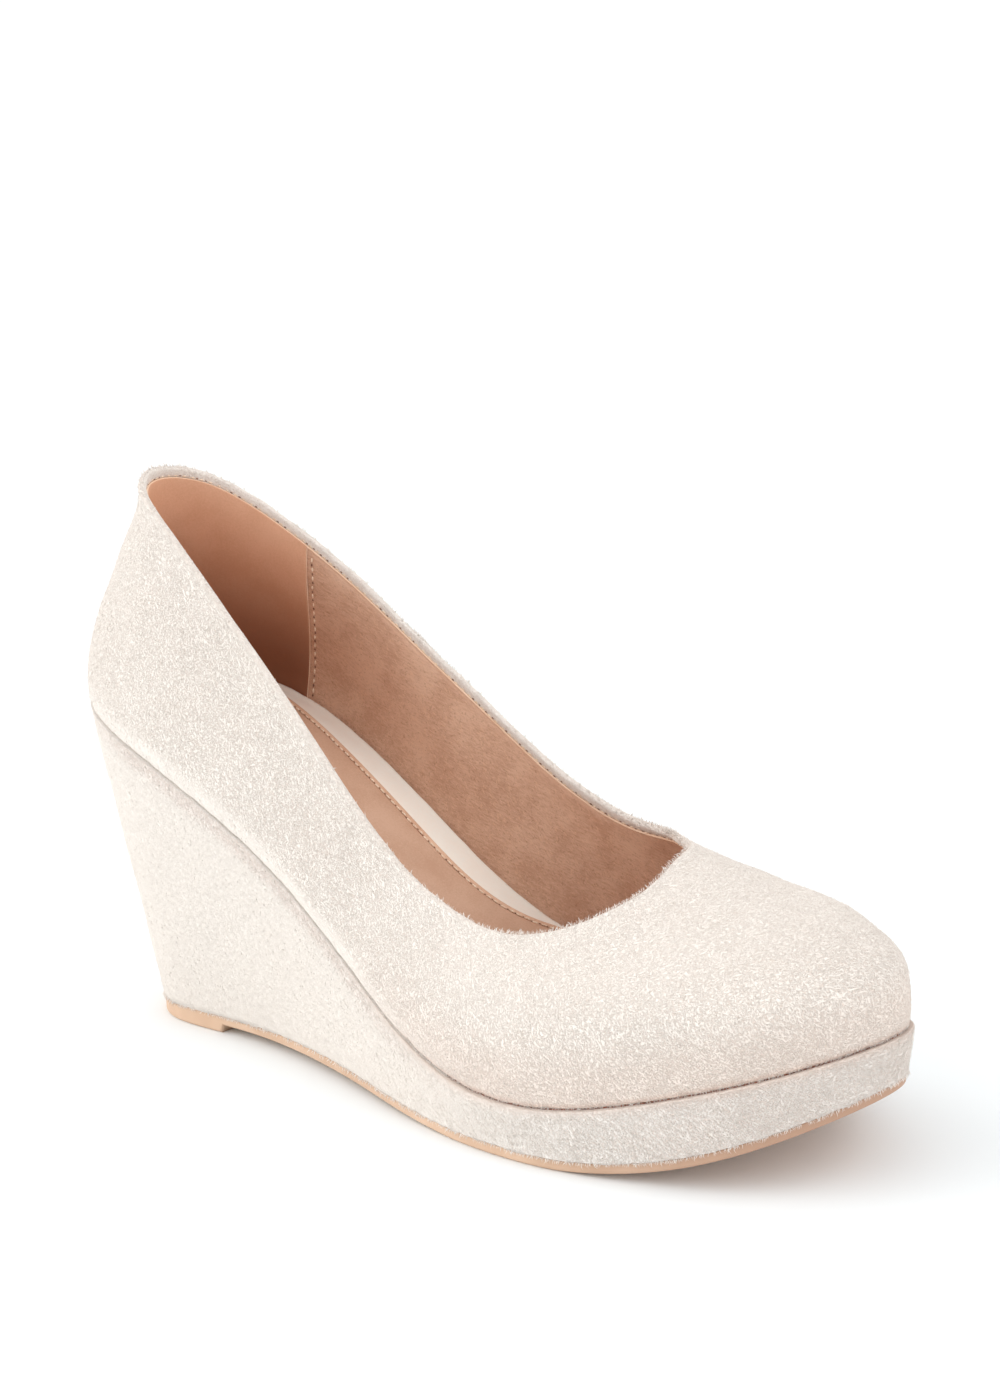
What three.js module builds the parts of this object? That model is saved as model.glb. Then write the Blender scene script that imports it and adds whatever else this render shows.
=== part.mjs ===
// Wedge pump with a low platform: one right shoe, size 38, standing on its sole.
// Millimetres, Z up. X runs from the heel to the toe, Y points to the medial side.
import * as THREE from "three";

// Driving sizes of the last
const LAST_LENGTH = 228; // feather line from heel to toe, seen from above
const BALL_WIDTH = 84; // feather line across the ball
const HEEL_HEIGHT = 80; // feather line above the floor at the heel's back
const BALL_HEIGHT = 13; // feather line above the floor under the ball
const TOE_SPRING = 18.3; // feather line at the toe above the feather line at the ball
const BACK_HEIGHT = 59.5; // topline above the feather line at the heel's back
const THROAT_HEIGHT = 43.5; // topline above the feather line at the throat

// Driving sizes of the pieces
const UPPER_WALL = 2;
const EDGE_ROUND = 0.7; // height of the rounded topline edge
const PLATFORM_PROUD = 1.3; // how far the platform stands out past the upper
const PLATFORM_ROUND = 0.8; // rounded top edge of the wedge and platform
const OUTSOLE_THICKNESS = 2.6;
const HEEL_PAD_STEP = 2.3; // the heel's tread stands lower than the waist by this much
const HEEL_PAD_FRONT = 53; // front edge of the heel's tread
const HEEL_PAD_SLOPE = 0.6; // length of that edge's slope
const TREAD_EDGE = 0.6; // chamfer around the underside
const TREAD_FLAT = 0.3; // depth to which the tread under the ball is pressed flat
const BOARD_THICKNESS = 2;
const SOCK_THICKNESS = 1.6;
const SOCK_MARGIN = 0.7; // least distance from the sock's edge to the board's edge
const SEAM_GAP = 0.3; // clearance between pieces that meet

// Colours
const BLUSH_SUEDE = 0xe9ddd3;
const TAN_RUBBER = 0xe0be9c;
const PALE_COVER = 0xe4d4c8;
const TAN_SOCK = 0xbe8c70;

// How finely the solids are cut
const UPPER_COLUMNS = 112;
const UPPER_ROWS = 12;
const WEDGE_COLUMNS = 96;
const WEDGE_ROWS = 5;
const HEEL_COLUMNS = 14;
const FORE_COLUMNS = 34;
const BOARD_COLUMNS = 72;

// Ten sections from the back of the heel to the tip of the toe.
// Along is a share of LAST_LENGTH, across a share of half of BALL_WIDTH.
const SECTION_NAMES = [
  "back", "heel", "seat", "rearWaist", "waist", "rearBall", "ball", "toeSide", "toeCorner", "tip",
];

// The feather line, where the upper meets the wedge
const FEATHER_COLUMNS = ["lateralAlong", "lateralAcross", "medialAlong", "medialAcross"];
const FEATHER_ROWS = [
  [0, 0, 0, 0],
  [0.024, 0.515, 0.027, 0.46],
  [0.13, 0.79, 0.11, 0.705],
  [0.293, 0.84, 0.267, 0.67],
  [0.417, 0.855, 0.485, 0.695],
  [0.563, 0.99, 0.58, 0.87],
  [0.7, 1.05, 0.69, 0.965],
  [0.832, 0.89, 0.847, 0.87],
  [0.95, 0.555, 0.926, 0.525],
  [1, 0, 1, 0],
];

// The outsole's outline
const TREAD_COLUMNS = ["lateralAlong", "lateralAcross", "medialAlong", "medialAcross"];
const TREAD_ROWS = [
  [0.09, 0, 0.09, 0],
  [0.112, 0.45, 0.112, 0.37],
  [0.168, 0.67, 0.168, 0.56],
  [0.308, 0.68, 0.308, 0.555],
  [0.451, 0.845, 0.451, 0.665],
  [0.563, 1.015, 0.58, 0.895],
  [0.7, 1.085, 0.69, 0.995],
  [0.832, 0.915, 0.847, 0.9],
  [0.949, 0.57, 0.928, 0.55],
  [1, 0, 1, 0],
];

// The topline. Height is a share of a size that runs evenly along the shoe
// from BACK_HEIGHT at the back to THROAT_HEIGHT at the throat.
const TOPLINE_COLUMNS = [
  "lateralAlong", "lateralAcross", "lateralHeight", "medialAlong", "medialAcross", "medialHeight",
];
const TOPLINE_ROWS = [
  [0.058, 0, 1, 0.058, 0, 1],
  [0.08, 0.34, 0.99, 0.081, 0.31, 0.967],
  [0.152, 0.5, 0.925, 0.153, 0.5, 0.91],
  [0.286, 0.605, 0.765, 0.286, 0.66, 0.795],
  [0.42, 0.68, 0.655, 0.42, 0.77, 0.765],
  [0.54, 0.75, 0.645, 0.536, 0.83, 0.805],
  [0.648, 0.775, 0.725, 0.63, 0.765, 0.905],
  [0.71, 0.6, 0.825, 0.681, 0.605, 0.965],
  [0.742, 0.29, 0.925, 0.729, 0.31, 1.035],
  [0.742, 0, 1, 0.742, 0, 1],
];

// The curve of the wall from the feather line up to the topline. Rise and swell are the height
// and the outward share of its lower half, reach is its run below the topline, all as shares
// of BACK_HEIGHT. Fall is that run's slope in degrees. Proud is a share of PLATFORM_PROUD.
const WALL_COLUMNS = ["rise", "swell", "reach", "fall", "proud"];
const WALL_ROWS = [
  [0.43, 0.095, 0.23, 70, 0.3],
  [0.335, 0.07, 0.33, 91, 0.3],
  [0.3, 0.085, 0.3, 95, 0.3],
  [0.27, 0.075, 0.25, 95, 0.3],
  [0.235, 0.067, 0.22, 90, 0.5],
  [0.22, 0.067, 0.22, 75, 0.9],
  [0.235, 0.05, 0.3, 48, 1],
  [0.27, 0.042, 0.46, 31, 1],
  [0.295, 0.043, 0.685, 22.5, 1],
  [0.345, 0.06, 0.785, 13, 1],
];

// The last's bottom from the side: shares of the drop from heel to ball and of TOE_SPRING
const BOTTOM_COLUMNS = ["along", "drop", "spring"];
const BOTTOM_ROWS = [
  [0, 1, 0],
  [0.15, 0.85, 0],
  [0.35, 0.522, 0],
  [0.5, 0.172, 0],
  [0.62, 0.01, 0],
  [0.72, 0, 0],
  [0.85, 0, 0.38],
  [1, 0, 1],
];

// The outsole's underside from the side: shares of HEEL_PAD_STEP and of TOE_SPRING
const UNDERSIDE_COLUMNS = ["along", "step", "spring"];
const UNDERSIDE_ROWS = [
  [0.1, 0.96, 0],
  [0.3, 1, 0],
  [0.45, 0.86, 0],
  [0.58, 0.29, 0],
  [0.7, 0, 0],
  [0.85, 0, 0.235],
  [1, 0, 1.015],
];

// The strip of board that shows beside the sock, as shares of half of BALL_WIDTH
const SOCK_COLUMNS = ["along", "lateral", "medial"];
const SOCK_ROWS = [
  [0, 0.05, 0.05],
  [0.12, 0.05, 0.155],
  [0.19, 0.05, 0.195],
  [0.27, 0.05, 0.216],
  [0.34, 0.05, 0.227],
  [0.4, 0.05, 0.232],
  [0.44, 0.05, 0.222],
  [0.485, 0.05, 0.15],
  [0.53, 0.03, 0.03],
  [0.6, 0.02, 0],
  [1, 0.02, 0],
];

// Turns a table into rows whose values have names.
function named(columns, rows) {
  return rows.map((row) => Object.fromEntries(columns.map((column, index) => [column, row[index]])));
}

// Solves a small set of linear equations by elimination.
function solve(matrix, right) {
  const size = right.length;
  const a = matrix.map((row, index) => [...row, right[index]]);
  for (let pivot = 0; pivot < size; pivot += 1) {
    for (let row = pivot + 1; row < size; row += 1) {
      const factor = a[row][pivot] / a[pivot][pivot];
      for (let column = pivot; column <= size; column += 1) a[row][column] -= factor * a[pivot][column];
    }
  }
  const result = new Array(size).fill(0);
  for (let row = size - 1; row >= 0; row -= 1) {
    let sum = a[row][size];
    for (let column = row + 1; column < size; column += 1) sum -= a[row][column] * result[column];
    result[row] = sum / a[row][row];
  }
  return result;
}

// The value of a cubic between two knots, from the values and second derivatives at its ends
function cubicPiece(value0, value1, bend0, bend1, width, offset) {
  const slope = (value1 - value0) / width - (width * (2 * bend0 + bend1)) / 6;
  const twist = (bend1 - bend0) / (6 * width);
  return value0 + offset * (slope + offset * (bend0 / 2 + offset * twist));
}

// A smooth curve of height over distance through the rows of a table
function profile(distances, values) {
  const count = distances.length;
  const matrix = distances.map((_, row) => distances.map((__, column) => (row === column ? 1 : 0)));
  const right = new Array(count).fill(0);
  for (let k = 1; k < count - 1; k += 1) {
    const before = distances[k] - distances[k - 1];
    const after = distances[k + 1] - distances[k];
    matrix[k][k - 1] = before;
    matrix[k][k] = 2 * (before + after);
    matrix[k][k + 1] = after;
    right[k] = 6 * ((values[k + 1] - values[k]) / after - (values[k] - values[k - 1]) / before);
  }
  const bends = solve(matrix, right);
  return (distance) => {
    let k = 0;
    while (k < count - 2 && distance > distances[k + 1]) k += 1;
    const width = distances[k + 1] - distances[k];
    return cubicPiece(values[k], values[k + 1], bends[k], bends[k + 1], width, distance - distances[k]);
  };
}

// A smooth closed curve of one value through stations at the given knots, which end at 1
function closedCurve(knots, values) {
  const count = values.length;
  const matrix = values.map(() => new Array(count).fill(0));
  const right = new Array(count).fill(0);
  for (let k = 0; k < count; k += 1) {
    const last = (k + count - 1) % count;
    const next = (k + 1) % count;
    const before = knots[last + 1] - knots[last];
    const after = knots[k + 1] - knots[k];
    matrix[k][last] += before;
    matrix[k][k] += 2 * (before + after);
    matrix[k][next] += after;
    right[k] = 6 * ((values[next] - values[k]) / after - (values[k] - values[last]) / before);
  }
  const bends = solve(matrix, right);
  return (turn) => {
    const place = turn - Math.floor(turn);
    let k = 0;
    while (k < count - 1 && place >= knots[k + 1]) k += 1;
    const next = (k + 1) % count;
    const width = knots[k + 1] - knots[k];
    return cubicPiece(values[k], values[next], bends[k], bends[next], width, place - knots[k]);
  };
}

// The stations around the shoe: back, lateral side, tip, medial side
function stations() {
  const feather = named(FEATHER_COLUMNS, FEATHER_ROWS);
  const tread = named(TREAD_COLUMNS, TREAD_ROWS);
  const topline = named(TOPLINE_COLUMNS, TOPLINE_ROWS);
  const walls = named(WALL_COLUMNS, WALL_ROWS);
  const tip = SECTION_NAMES.indexOf("tip");
  const half = BALL_WIDTH / 2;
  const backAlong = topline[0].lateralAlong;
  const throatAlong = topline[tip].lateralAlong;
  const station = (index, side) => {
    const sign = side === "lateral" && index !== tip ? -1 : 1;
    const along = topline[index][side + "Along"];
    const forward = (along - backAlong) / (throatAlong - backAlong);
    const height = BACK_HEIGHT + (THROAT_HEIGHT - BACK_HEIGHT) * forward;
    return {
      featherX: feather[index][side + "Along"] * LAST_LENGTH,
      featherY: feather[index][side + "Across"] * half * sign,
      treadX: tread[index][side + "Along"] * LAST_LENGTH,
      treadY: tread[index][side + "Across"] * half * sign,
      toplineX: along * LAST_LENGTH,
      toplineY: topline[index][side + "Across"] * half * sign,
      toplineRise: topline[index][side + "Height"] * height,
      rise: walls[index].rise * BACK_HEIGHT,
      swell: walls[index].swell * BACK_HEIGHT,
      reach: walls[index].reach * BACK_HEIGHT,
      fall: THREE.MathUtils.degToRad(walls[index].fall),
      proud: walls[index].proud * PLATFORM_PROUD,
    };
  };
  const around = [];
  for (let index = 0; index <= tip; index += 1) around.push(station(index, "lateral"));
  for (let index = tip - 1; index > 0; index -= 1) around.push(station(index, "medial"));
  return around;
}

// Smooth closed curves of every station value, over one turn around the shoe
function turnCurves(around) {
  const knots = [0];
  around.forEach((station, index) => {
    const next = around[(index + 1) % around.length];
    const step = Math.hypot(next.featherX - station.featherX, next.featherY - station.featherY);
    knots.push(knots[index] + step);
  });
  const total = knots[knots.length - 1];
  const turns = knots.map((knot) => knot / total);
  const curves = { tipTurn: turns[SECTION_NAMES.indexOf("tip")] };
  for (const key of Object.keys(around[0])) curves[key] = closedCurve(turns, around.map((one) => one[key]));
  return curves;
}

const shoe = turnCurves(stations());

// Heights along the shoe
const bottomRows = named(BOTTOM_COLUMNS, BOTTOM_ROWS);
const bottomHeight = profile(
  bottomRows.map((row) => row.along * LAST_LENGTH),
  bottomRows.map((row) => BALL_HEIGHT + row.drop * (HEEL_HEIGHT - BALL_HEIGHT) + row.spring * TOE_SPRING),
);
const undersideRows = named(UNDERSIDE_COLUMNS, UNDERSIDE_ROWS);
const undersideCurve = profile(
  undersideRows.map((row) => row.along * LAST_LENGTH),
  undersideRows.map((row) => row.step * HEEL_PAD_STEP + row.spring * TOE_SPRING),
);
const sheetUnderside = (x) => Math.max(0, undersideCurve(x) - TREAD_FLAT);
const treadHeight = (x) => (x < HEEL_PAD_FRONT + HEEL_PAD_SLOPE / 2 ? 0 : sheetUnderside(x));
const sheetTop = (x) => sheetUnderside(x) + OUTSOLE_THICKNESS;

// The direction straight out of the feather line, seen from above
function outward(turn) {
  const step = 1e-4;
  const dx = shoe.featherX(turn + step) - shoe.featherX(turn - step);
  const dy = shoe.featherY(turn + step) - shoe.featherY(turn - step);
  return new THREE.Vector2(dy, -dx).normalize();
}

// A point on the upper's outer face: height 0 is the feather line and 1 is the topline
function upperPoint(turn, height) {
  const out = outward(turn);
  const featherX = shoe.featherX(turn);
  const featherY = shoe.featherY(turn);
  const toplineX = shoe.toplineX(turn);
  const feather = new THREE.Vector3(featherX, featherY, bottomHeight(featherX));
  const topline = new THREE.Vector3(
    toplineX, shoe.toplineY(turn), bottomHeight(toplineX) + shoe.toplineRise(turn),
  );
  const swell = shoe.swell(turn);
  const lower = feather.clone().add(new THREE.Vector3(out.x * swell, out.y * swell, shoe.rise(turn)));
  const run = Math.cos(shoe.fall(turn)) * shoe.reach(turn);
  const drop = Math.sin(shoe.fall(turn)) * shoe.reach(turn);
  const higher = topline.clone().add(new THREE.Vector3(out.x * run, out.y * run, -drop));
  return new THREE.CubicBezierCurve3(feather, lower, higher, topline).getPoint(height);
}

// The upper's outer face seen from a point on it: the directions up the wall and out of it
function upperDirections(turn, height) {
  const aside = 1e-3;
  const low = Math.max(0, height - aside);
  const high = Math.min(1, height + aside);
  const up = upperPoint(turn, high).sub(upperPoint(turn, low)).normalize();
  const forward = upperPoint(turn + aside, height).sub(upperPoint(turn - aside, height)).normalize();
  return { up, out: forward.cross(up).normalize() };
}

// Evenly spread turns for a solid that is cut in columns, with one column on the tip
function evenTurns(columns) {
  const side = columns / 2;
  const turns = [];
  for (let k = 0; k < side; k += 1) turns.push((shoe.tipTurn * k) / side);
  for (let k = 0; k < side; k += 1) turns.push(shoe.tipTurn + ((1 - shoe.tipTurn) * k) / side);
  return turns;
}

// The turn at which the outsole's outline passes a distance from the heel, on one side
function turnAt(distance, from, to) {
  let low = from;
  let high = to;
  for (let k = 0; k < 50; k += 1) {
    const middle = (low + high) / 2;
    if (shoe.treadX(middle) < distance) low = middle;
    else high = middle;
  }
  return low;
}

// Turns for the outsole, with columns on both edges of the heel pad's step
function outsoleTurns() {
  const side = (start, end) => {
    const before = turnAt(HEEL_PAD_FRONT, start, end);
    const after = turnAt(HEEL_PAD_FRONT + HEEL_PAD_SLOPE, start, end);
    const turns = [];
    for (let k = 0; k <= HEEL_COLUMNS; k += 1) turns.push(start + ((before - start) * k) / HEEL_COLUMNS);
    for (let k = 0; k < FORE_COLUMNS; k += 1) turns.push(after + ((end - after) * k) / FORE_COLUMNS);
    return turns;
  };
  const lateral = side(0, shoe.tipTurn);
  const medial = side(1, shoe.tipTurn).slice(1).reverse();
  return [...lateral, shoe.tipTurn, ...medial];
}

// Collects points and triangles for one closed solid.
class Solid {
  constructor() {
    this.points = [];
    this.faces = [];
  }

  // Adds a loop of points and returns the number of its first.
  loop(points) {
    const start = this.points.length / 3;
    for (const point of points) this.points.push(point.x, point.y, point.z);
    return start;
  }

  // Joins two loops with a band that faces away from the axis when the upper loop comes first.
  band(upper, lower, count) {
    for (let k = 0; k < count; k += 1) {
      const next = (k + 1) % count;
      this.faces.push(upper + k, lower + k, lower + next);
      this.faces.push(upper + k, lower + next, upper + next);
    }
  }

  // Closes a loop with strips that run across the shoe.
  cap(start, count, facesUp) {
    const add = (a, b, c) => this.faces.push(a, facesUp ? b : c, facesUp ? c : b);
    const lateral = (k) => start + k;
    const medial = (k) => start + ((count - k) % count);
    const half = count / 2;
    add(lateral(0), lateral(1), medial(1));
    for (let k = 1; k < half - 1; k += 1) {
      add(lateral(k), lateral(k + 1), medial(k));
      add(medial(k), lateral(k + 1), medial(k + 1));
    }
    add(lateral(half - 1), lateral(half), medial(half - 1));
  }

  // Turns the solid into a named mesh.
  mesh(name, color, roughness) {
    const geometry = new THREE.BufferGeometry();
    geometry.setAttribute("position", new THREE.Float32BufferAttribute(this.points, 3));
    geometry.setIndex(this.faces);
    geometry.computeVertexNormals();
    const material = new THREE.MeshStandardMaterial({ color, roughness, metalness: 0 });
    const mesh = new THREE.Mesh(geometry, material);
    mesh.name = name;
    return mesh;
  }
}

// A solid built from loops that run from its top face down to its underside
function plate(name, color, roughness, loops) {
  const solid = new Solid();
  const count = loops[0].length;
  const starts = loops.map((points) => solid.loop(points));
  for (let k = 1; k < starts.length; k += 1) solid.band(starts[k - 1], starts[k], count);
  solid.cap(starts[0], count, true);
  solid.cap(starts[starts.length - 1], count, false);
  return solid.mesh(name, color, roughness);
}

// The feather line moved straight in or out, at a height above the last's bottom
function featherLoop(turns, offsetAt, lift) {
  return turns.map((turn) => {
    const out = outward(turn);
    const offset = offsetAt(turn);
    const x = shoe.featherX(turn) + out.x * offset;
    return new THREE.Vector3(x, shoe.featherY(turn) + out.y * offset, bottomHeight(x) + lift);
  });
}

// The outsole's outline, drawn in by an inset, at the heights that a function gives
function treadLoop(turns, inset, heightAt) {
  return turns.map((turn) => {
    const out = outward(turn);
    const x = shoe.treadX(turn) - out.x * inset;
    return new THREE.Vector3(x, shoe.treadY(turn) - out.y * inset, heightAt(shoe.treadX(turn)));
  });
}

// The outsole: a thin sheet that follows the waist and toe, with a stepped heel pad
function makeOutsole() {
  const turns = outsoleTurns();
  const top = treadLoop(turns, 0, sheetTop);
  const edge = treadLoop(turns, 0, (x) => treadHeight(x) + TREAD_EDGE);
  const tread = treadLoop(turns, TREAD_EDGE, treadHeight);
  return plate("outsole", TAN_RUBBER, 0.55, [top, edge, tread]);
}

// The wedge and platform: one covered block between the feather line and the outsole
function makeWedge() {
  const turns = evenTurns(WEDGE_COLUMNS);
  const rim = featherLoop(turns, (turn) => shoe.proud(turn) - PLATFORM_ROUND, 0);
  const edge = featherLoop(turns, shoe.proud, -PLATFORM_ROUND);
  const foot = treadLoop(turns, 0, (x) => sheetTop(x) + SEAM_GAP);
  const sides = [];
  for (let row = 1; row <= WEDGE_ROWS; row += 1) {
    sides.push(edge.map((point, index) => point.clone().lerp(foot[index], row / WEDGE_ROWS)));
  }
  return plate("wedge_platform", BLUSH_SUEDE, 0.95, [rim, edge, ...sides]);
}

// The upper: one hollow wall, open at the topline and underneath
function makeUpper() {
  const turns = evenTurns(UPPER_COLUMNS);
  const outer = [];
  const inner = [];
  for (let row = 0; row <= UPPER_ROWS; row += 1) {
    const height = row / UPPER_ROWS;
    const outerRow = turns.map((turn) => upperPoint(turn, height));
    const innerRow = turns.map((turn, index) => {
      const { out } = upperDirections(turn, height);
      return outerRow[index].clone().addScaledVector(out, -UPPER_WALL);
    });
    outer.push(outerRow);
    inner.push(innerRow);
  }
  for (const point of [...outer[0], ...inner[0]]) point.z = bottomHeight(point.x) + SEAM_GAP;
  const crest = turns.map((turn, index) => {
    const { up } = upperDirections(turn, 1);
    const middle = outer[UPPER_ROWS][index].clone().lerp(inner[UPPER_ROWS][index], 0.5);
    return middle.addScaledVector(up, EDGE_ROUND);
  });
  const solid = new Solid();
  const loops = [crest, ...outer.reverse(), ...inner];
  const starts = loops.map((points) => solid.loop(points));
  const count = turns.length;
  for (let k = 1; k < starts.length; k += 1) solid.band(starts[k - 1], starts[k], count);
  solid.band(starts[starts.length - 1], starts[0], count);
  return solid.mesh("upper", BLUSH_SUEDE, 0.95);
}

// How far the insole board's edge lies inside the feather line
const boardInset = UPPER_WALL + SEAM_GAP;

// The insole board inside the upper
function makeBoard() {
  const turns = evenTurns(BOARD_COLUMNS);
  const top = featherLoop(turns, () => -boardInset, SEAM_GAP + BOARD_THICKNESS);
  const bottom = featherLoop(turns, () => -boardInset, SEAM_GAP);
  return plate("insole_board", PALE_COVER, 0.8, [top, bottom]);
}

// The padded sock lining on the board, cut back beside the arch
function makeSock() {
  const rows = named(SOCK_COLUMNS, SOCK_ROWS);
  const distances = rows.map((row) => row.along * LAST_LENGTH);
  const strip = {
    lateral: profile(distances, rows.map((row) => (row.lateral * BALL_WIDTH) / 2)),
    medial: profile(distances, rows.map((row) => (row.medial * BALL_WIDTH) / 2)),
  };
  const turns = evenTurns(BOARD_COLUMNS);
  const offset = (turn) => {
    const side = turn < shoe.tipTurn ? "lateral" : "medial";
    return -boardInset - Math.max(SOCK_MARGIN, strip[side](shoe.featherX(turn)));
  };
  const lift = 2 * SEAM_GAP + BOARD_THICKNESS;
  const top = featherLoop(turns, offset, lift + SOCK_THICKNESS);
  const bottom = featherLoop(turns, offset, lift);
  return plate("sock_lining", TAN_SOCK, 0.7, [top, bottom]);
}

// The whole shoe, centred over its origin on the floor
const pump = new THREE.Group();
pump.add(makeOutsole(), makeWedge(), makeUpper(), makeBoard(), makeSock());
const box = new THREE.Box3().setFromObject(pump);
pump.position.set(-(box.min.x + box.max.x) / 2, -(box.min.y + box.max.y) / 2, 0);

export default pump;
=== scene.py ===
import math

import bpy
import numpy as np
from mathutils import Matrix, Vector


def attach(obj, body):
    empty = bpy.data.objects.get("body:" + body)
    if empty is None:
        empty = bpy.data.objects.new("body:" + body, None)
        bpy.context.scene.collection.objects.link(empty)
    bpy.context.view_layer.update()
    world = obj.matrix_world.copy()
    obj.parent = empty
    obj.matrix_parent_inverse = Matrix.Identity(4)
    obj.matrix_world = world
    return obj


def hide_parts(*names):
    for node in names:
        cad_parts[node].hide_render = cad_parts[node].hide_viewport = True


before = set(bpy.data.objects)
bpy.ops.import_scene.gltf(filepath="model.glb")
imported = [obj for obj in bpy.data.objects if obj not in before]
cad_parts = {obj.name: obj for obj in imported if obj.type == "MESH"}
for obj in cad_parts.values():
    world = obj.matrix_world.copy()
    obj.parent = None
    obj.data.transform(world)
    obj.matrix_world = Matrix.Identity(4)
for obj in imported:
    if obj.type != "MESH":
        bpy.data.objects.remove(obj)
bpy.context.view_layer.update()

# Lengths are in millimetres in the last's own frame: X from the heel to the toe, Y to the
# medial side, Z up from the floor. add_piece() moves them to the row frame, in metres.
MM = 0.001
# Moves the last's frame to the row frame, whose origin is under the middle of the CAD model.
CAD_CENTRING = np.array([-113.992, 1.3286, 0.0])

# Sizes of the CAD model
LAST_LENGTH = 228
BALL_WIDTH = 84
HEEL_HEIGHT = 80
BALL_HEIGHT = 13
TOE_SPRING = 18.3
BACK_HEIGHT = 59.5
THROAT_HEIGHT = 43.5
UPPER_WALL = 2
PLATFORM_PROUD = 1.3
OUTSOLE_THICKNESS = 2.6
HEEL_PAD_STEP = 2.3
HEEL_PAD_FRONT = 53
HEEL_PAD_SLOPE = 0.6
TREAD_FLAT = 0.3
BOARD_THICKNESS = 2
SOCK_MARGIN = 0.7
SEAM_GAP = 0.3

# Sizes that only the looks have
EDGE_ROLL = 0.85  # height of the rolled topline edge
TURN_IN = 1.7  # how far the suede is turned in over the topline
TUCK_RADIUS = 1.0  # the upper curls in to its seam over this height
TUCK_DEPTH = 0.32
WAIST_TUCK_RADIUS = 2.8  # share by which the tuck is higher along the lateral waist
WAIST_TUCK_DEPTH = 0.84  # share by which it is deeper there
WAIST_DIP = 0.75  # how far the wedge dips under the upper along the lateral waist
WAIST_DIP_REACH = 6.5
WAIST_CLOSE = 0.22  # how far the wedge's top comes up to the upper there
WAIST_END = 0.3  # the turn where the lateral waist passes into the forefoot
COVER_ROUND = 0.38  # rounding of the wedge cover's top edge
OUTSOLE_INSET = 0.36  # how far the outsole's side lies inside the wedge's foot
OUTSOLE_ROUND = 0.9  # rounding of the outsole's lower edge
LINING_ROOM = 0.7  # room that the suede leaves in the wall for the linings
LINING_THICKNESS = 0.55
LINING_OVERLAP = 0.45  # the quarter lining lies on the vamp lining
MEDIAL_SEAM = 0.906  # the turn where the quarter lining ends on the medial side
SEAM_STITCH_GAP = 1.7
SOCK_GROOVE = 1.9  # distance of the sock's stitches from its edge
SOCK_RIM = 1.7  # width of the sock's crowned edge, outside that groove
BOARD_INSET = UPPER_WALL + SEAM_GAP

# Soft unevenness: its height, the length of its waves, and a seed
UPPER_RELIEF = (0.16, 17, 3)
UPPER_PULL = (0.07, 4.5, 4)
TOPLINE_RELIEF = (0.14, 9, 6)
LINING_RELIEF = (0.05, 7, 11)
BOARD_RELIEF = (0.06, 8, 14)
SOCK_RELIEF = (0.05, 10, 15)
WEDGE_RELIEF = (0.1, 15, 31)
RAGGED_FOOT = (0.12, 3.2, 33)
SEAM_WANDER = (0.08, 2.4, 35)

# Columns of points around each piece
UPPER_COLUMNS = 760
WEDGE_COLUMNS = 720
BOARD_COLUMNS = 560
HEEL_PAD_COLUMNS = 90
FORE_SOLE_COLUMNS = 260
TOPLINE_POINTS = 900
SEAM_POINTS = 1400

# Ten sections from the back of the heel to the tip of the toe, as in the CAD source
TIP_SECTION = 9
FEATHER_COLUMNS = ["lateral_along", "lateral_across", "medial_along", "medial_across"]
FEATHER_ROWS = [
    [0, 0, 0, 0],
    [0.024, 0.515, 0.027, 0.46],
    [0.13, 0.79, 0.11, 0.705],
    [0.293, 0.84, 0.267, 0.67],
    [0.417, 0.855, 0.485, 0.695],
    [0.563, 0.99, 0.58, 0.87],
    [0.7, 1.05, 0.69, 0.965],
    [0.832, 0.89, 0.847, 0.87],
    [0.95, 0.555, 0.926, 0.525],
    [1, 0, 1, 0],
]
TREAD_ROWS = [
    [0.09, 0, 0.09, 0],
    [0.112, 0.45, 0.112, 0.37],
    [0.168, 0.67, 0.168, 0.56],
    [0.308, 0.68, 0.308, 0.555],
    [0.451, 0.845, 0.451, 0.665],
    [0.563, 1.015, 0.58, 0.895],
    [0.7, 1.085, 0.69, 0.995],
    [0.832, 0.915, 0.847, 0.9],
    [0.949, 0.57, 0.928, 0.55],
    [1, 0, 1, 0],
]
TOPLINE_COLUMNS = [
    "lateral_along", "lateral_across", "lateral_height",
    "medial_along", "medial_across", "medial_height",
]
TOPLINE_ROWS = [
    [0.058, 0, 1, 0.058, 0, 1],
    [0.08, 0.34, 0.99, 0.081, 0.31, 0.967],
    [0.152, 0.5, 0.925, 0.153, 0.5, 0.91],
    [0.286, 0.605, 0.765, 0.286, 0.66, 0.795],
    [0.42, 0.68, 0.655, 0.42, 0.77, 0.765],
    [0.54, 0.75, 0.645, 0.536, 0.83, 0.805],
    [0.648, 0.775, 0.725, 0.63, 0.765, 0.905],
    [0.71, 0.6, 0.825, 0.681, 0.605, 0.965],
    [0.742, 0.29, 0.925, 0.729, 0.31, 1.035],
    [0.742, 0, 1, 0.742, 0, 1],
]
WALL_COLUMNS = ["rise", "swell", "reach", "fall", "proud"]
WALL_ROWS = [
    [0.43, 0.095, 0.23, 70, 0.3],
    [0.335, 0.07, 0.33, 91, 0.3],
    [0.3, 0.085, 0.3, 95, 0.3],
    [0.27, 0.075, 0.25, 95, 0.3],
    [0.235, 0.067, 0.22, 90, 0.5],
    [0.22, 0.067, 0.22, 75, 0.9],
    [0.235, 0.05, 0.3, 48, 1],
    [0.27, 0.042, 0.46, 31, 1],
    [0.295, 0.043, 0.685, 22.5, 1],
    [0.345, 0.06, 0.785, 13, 1],
]
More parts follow.
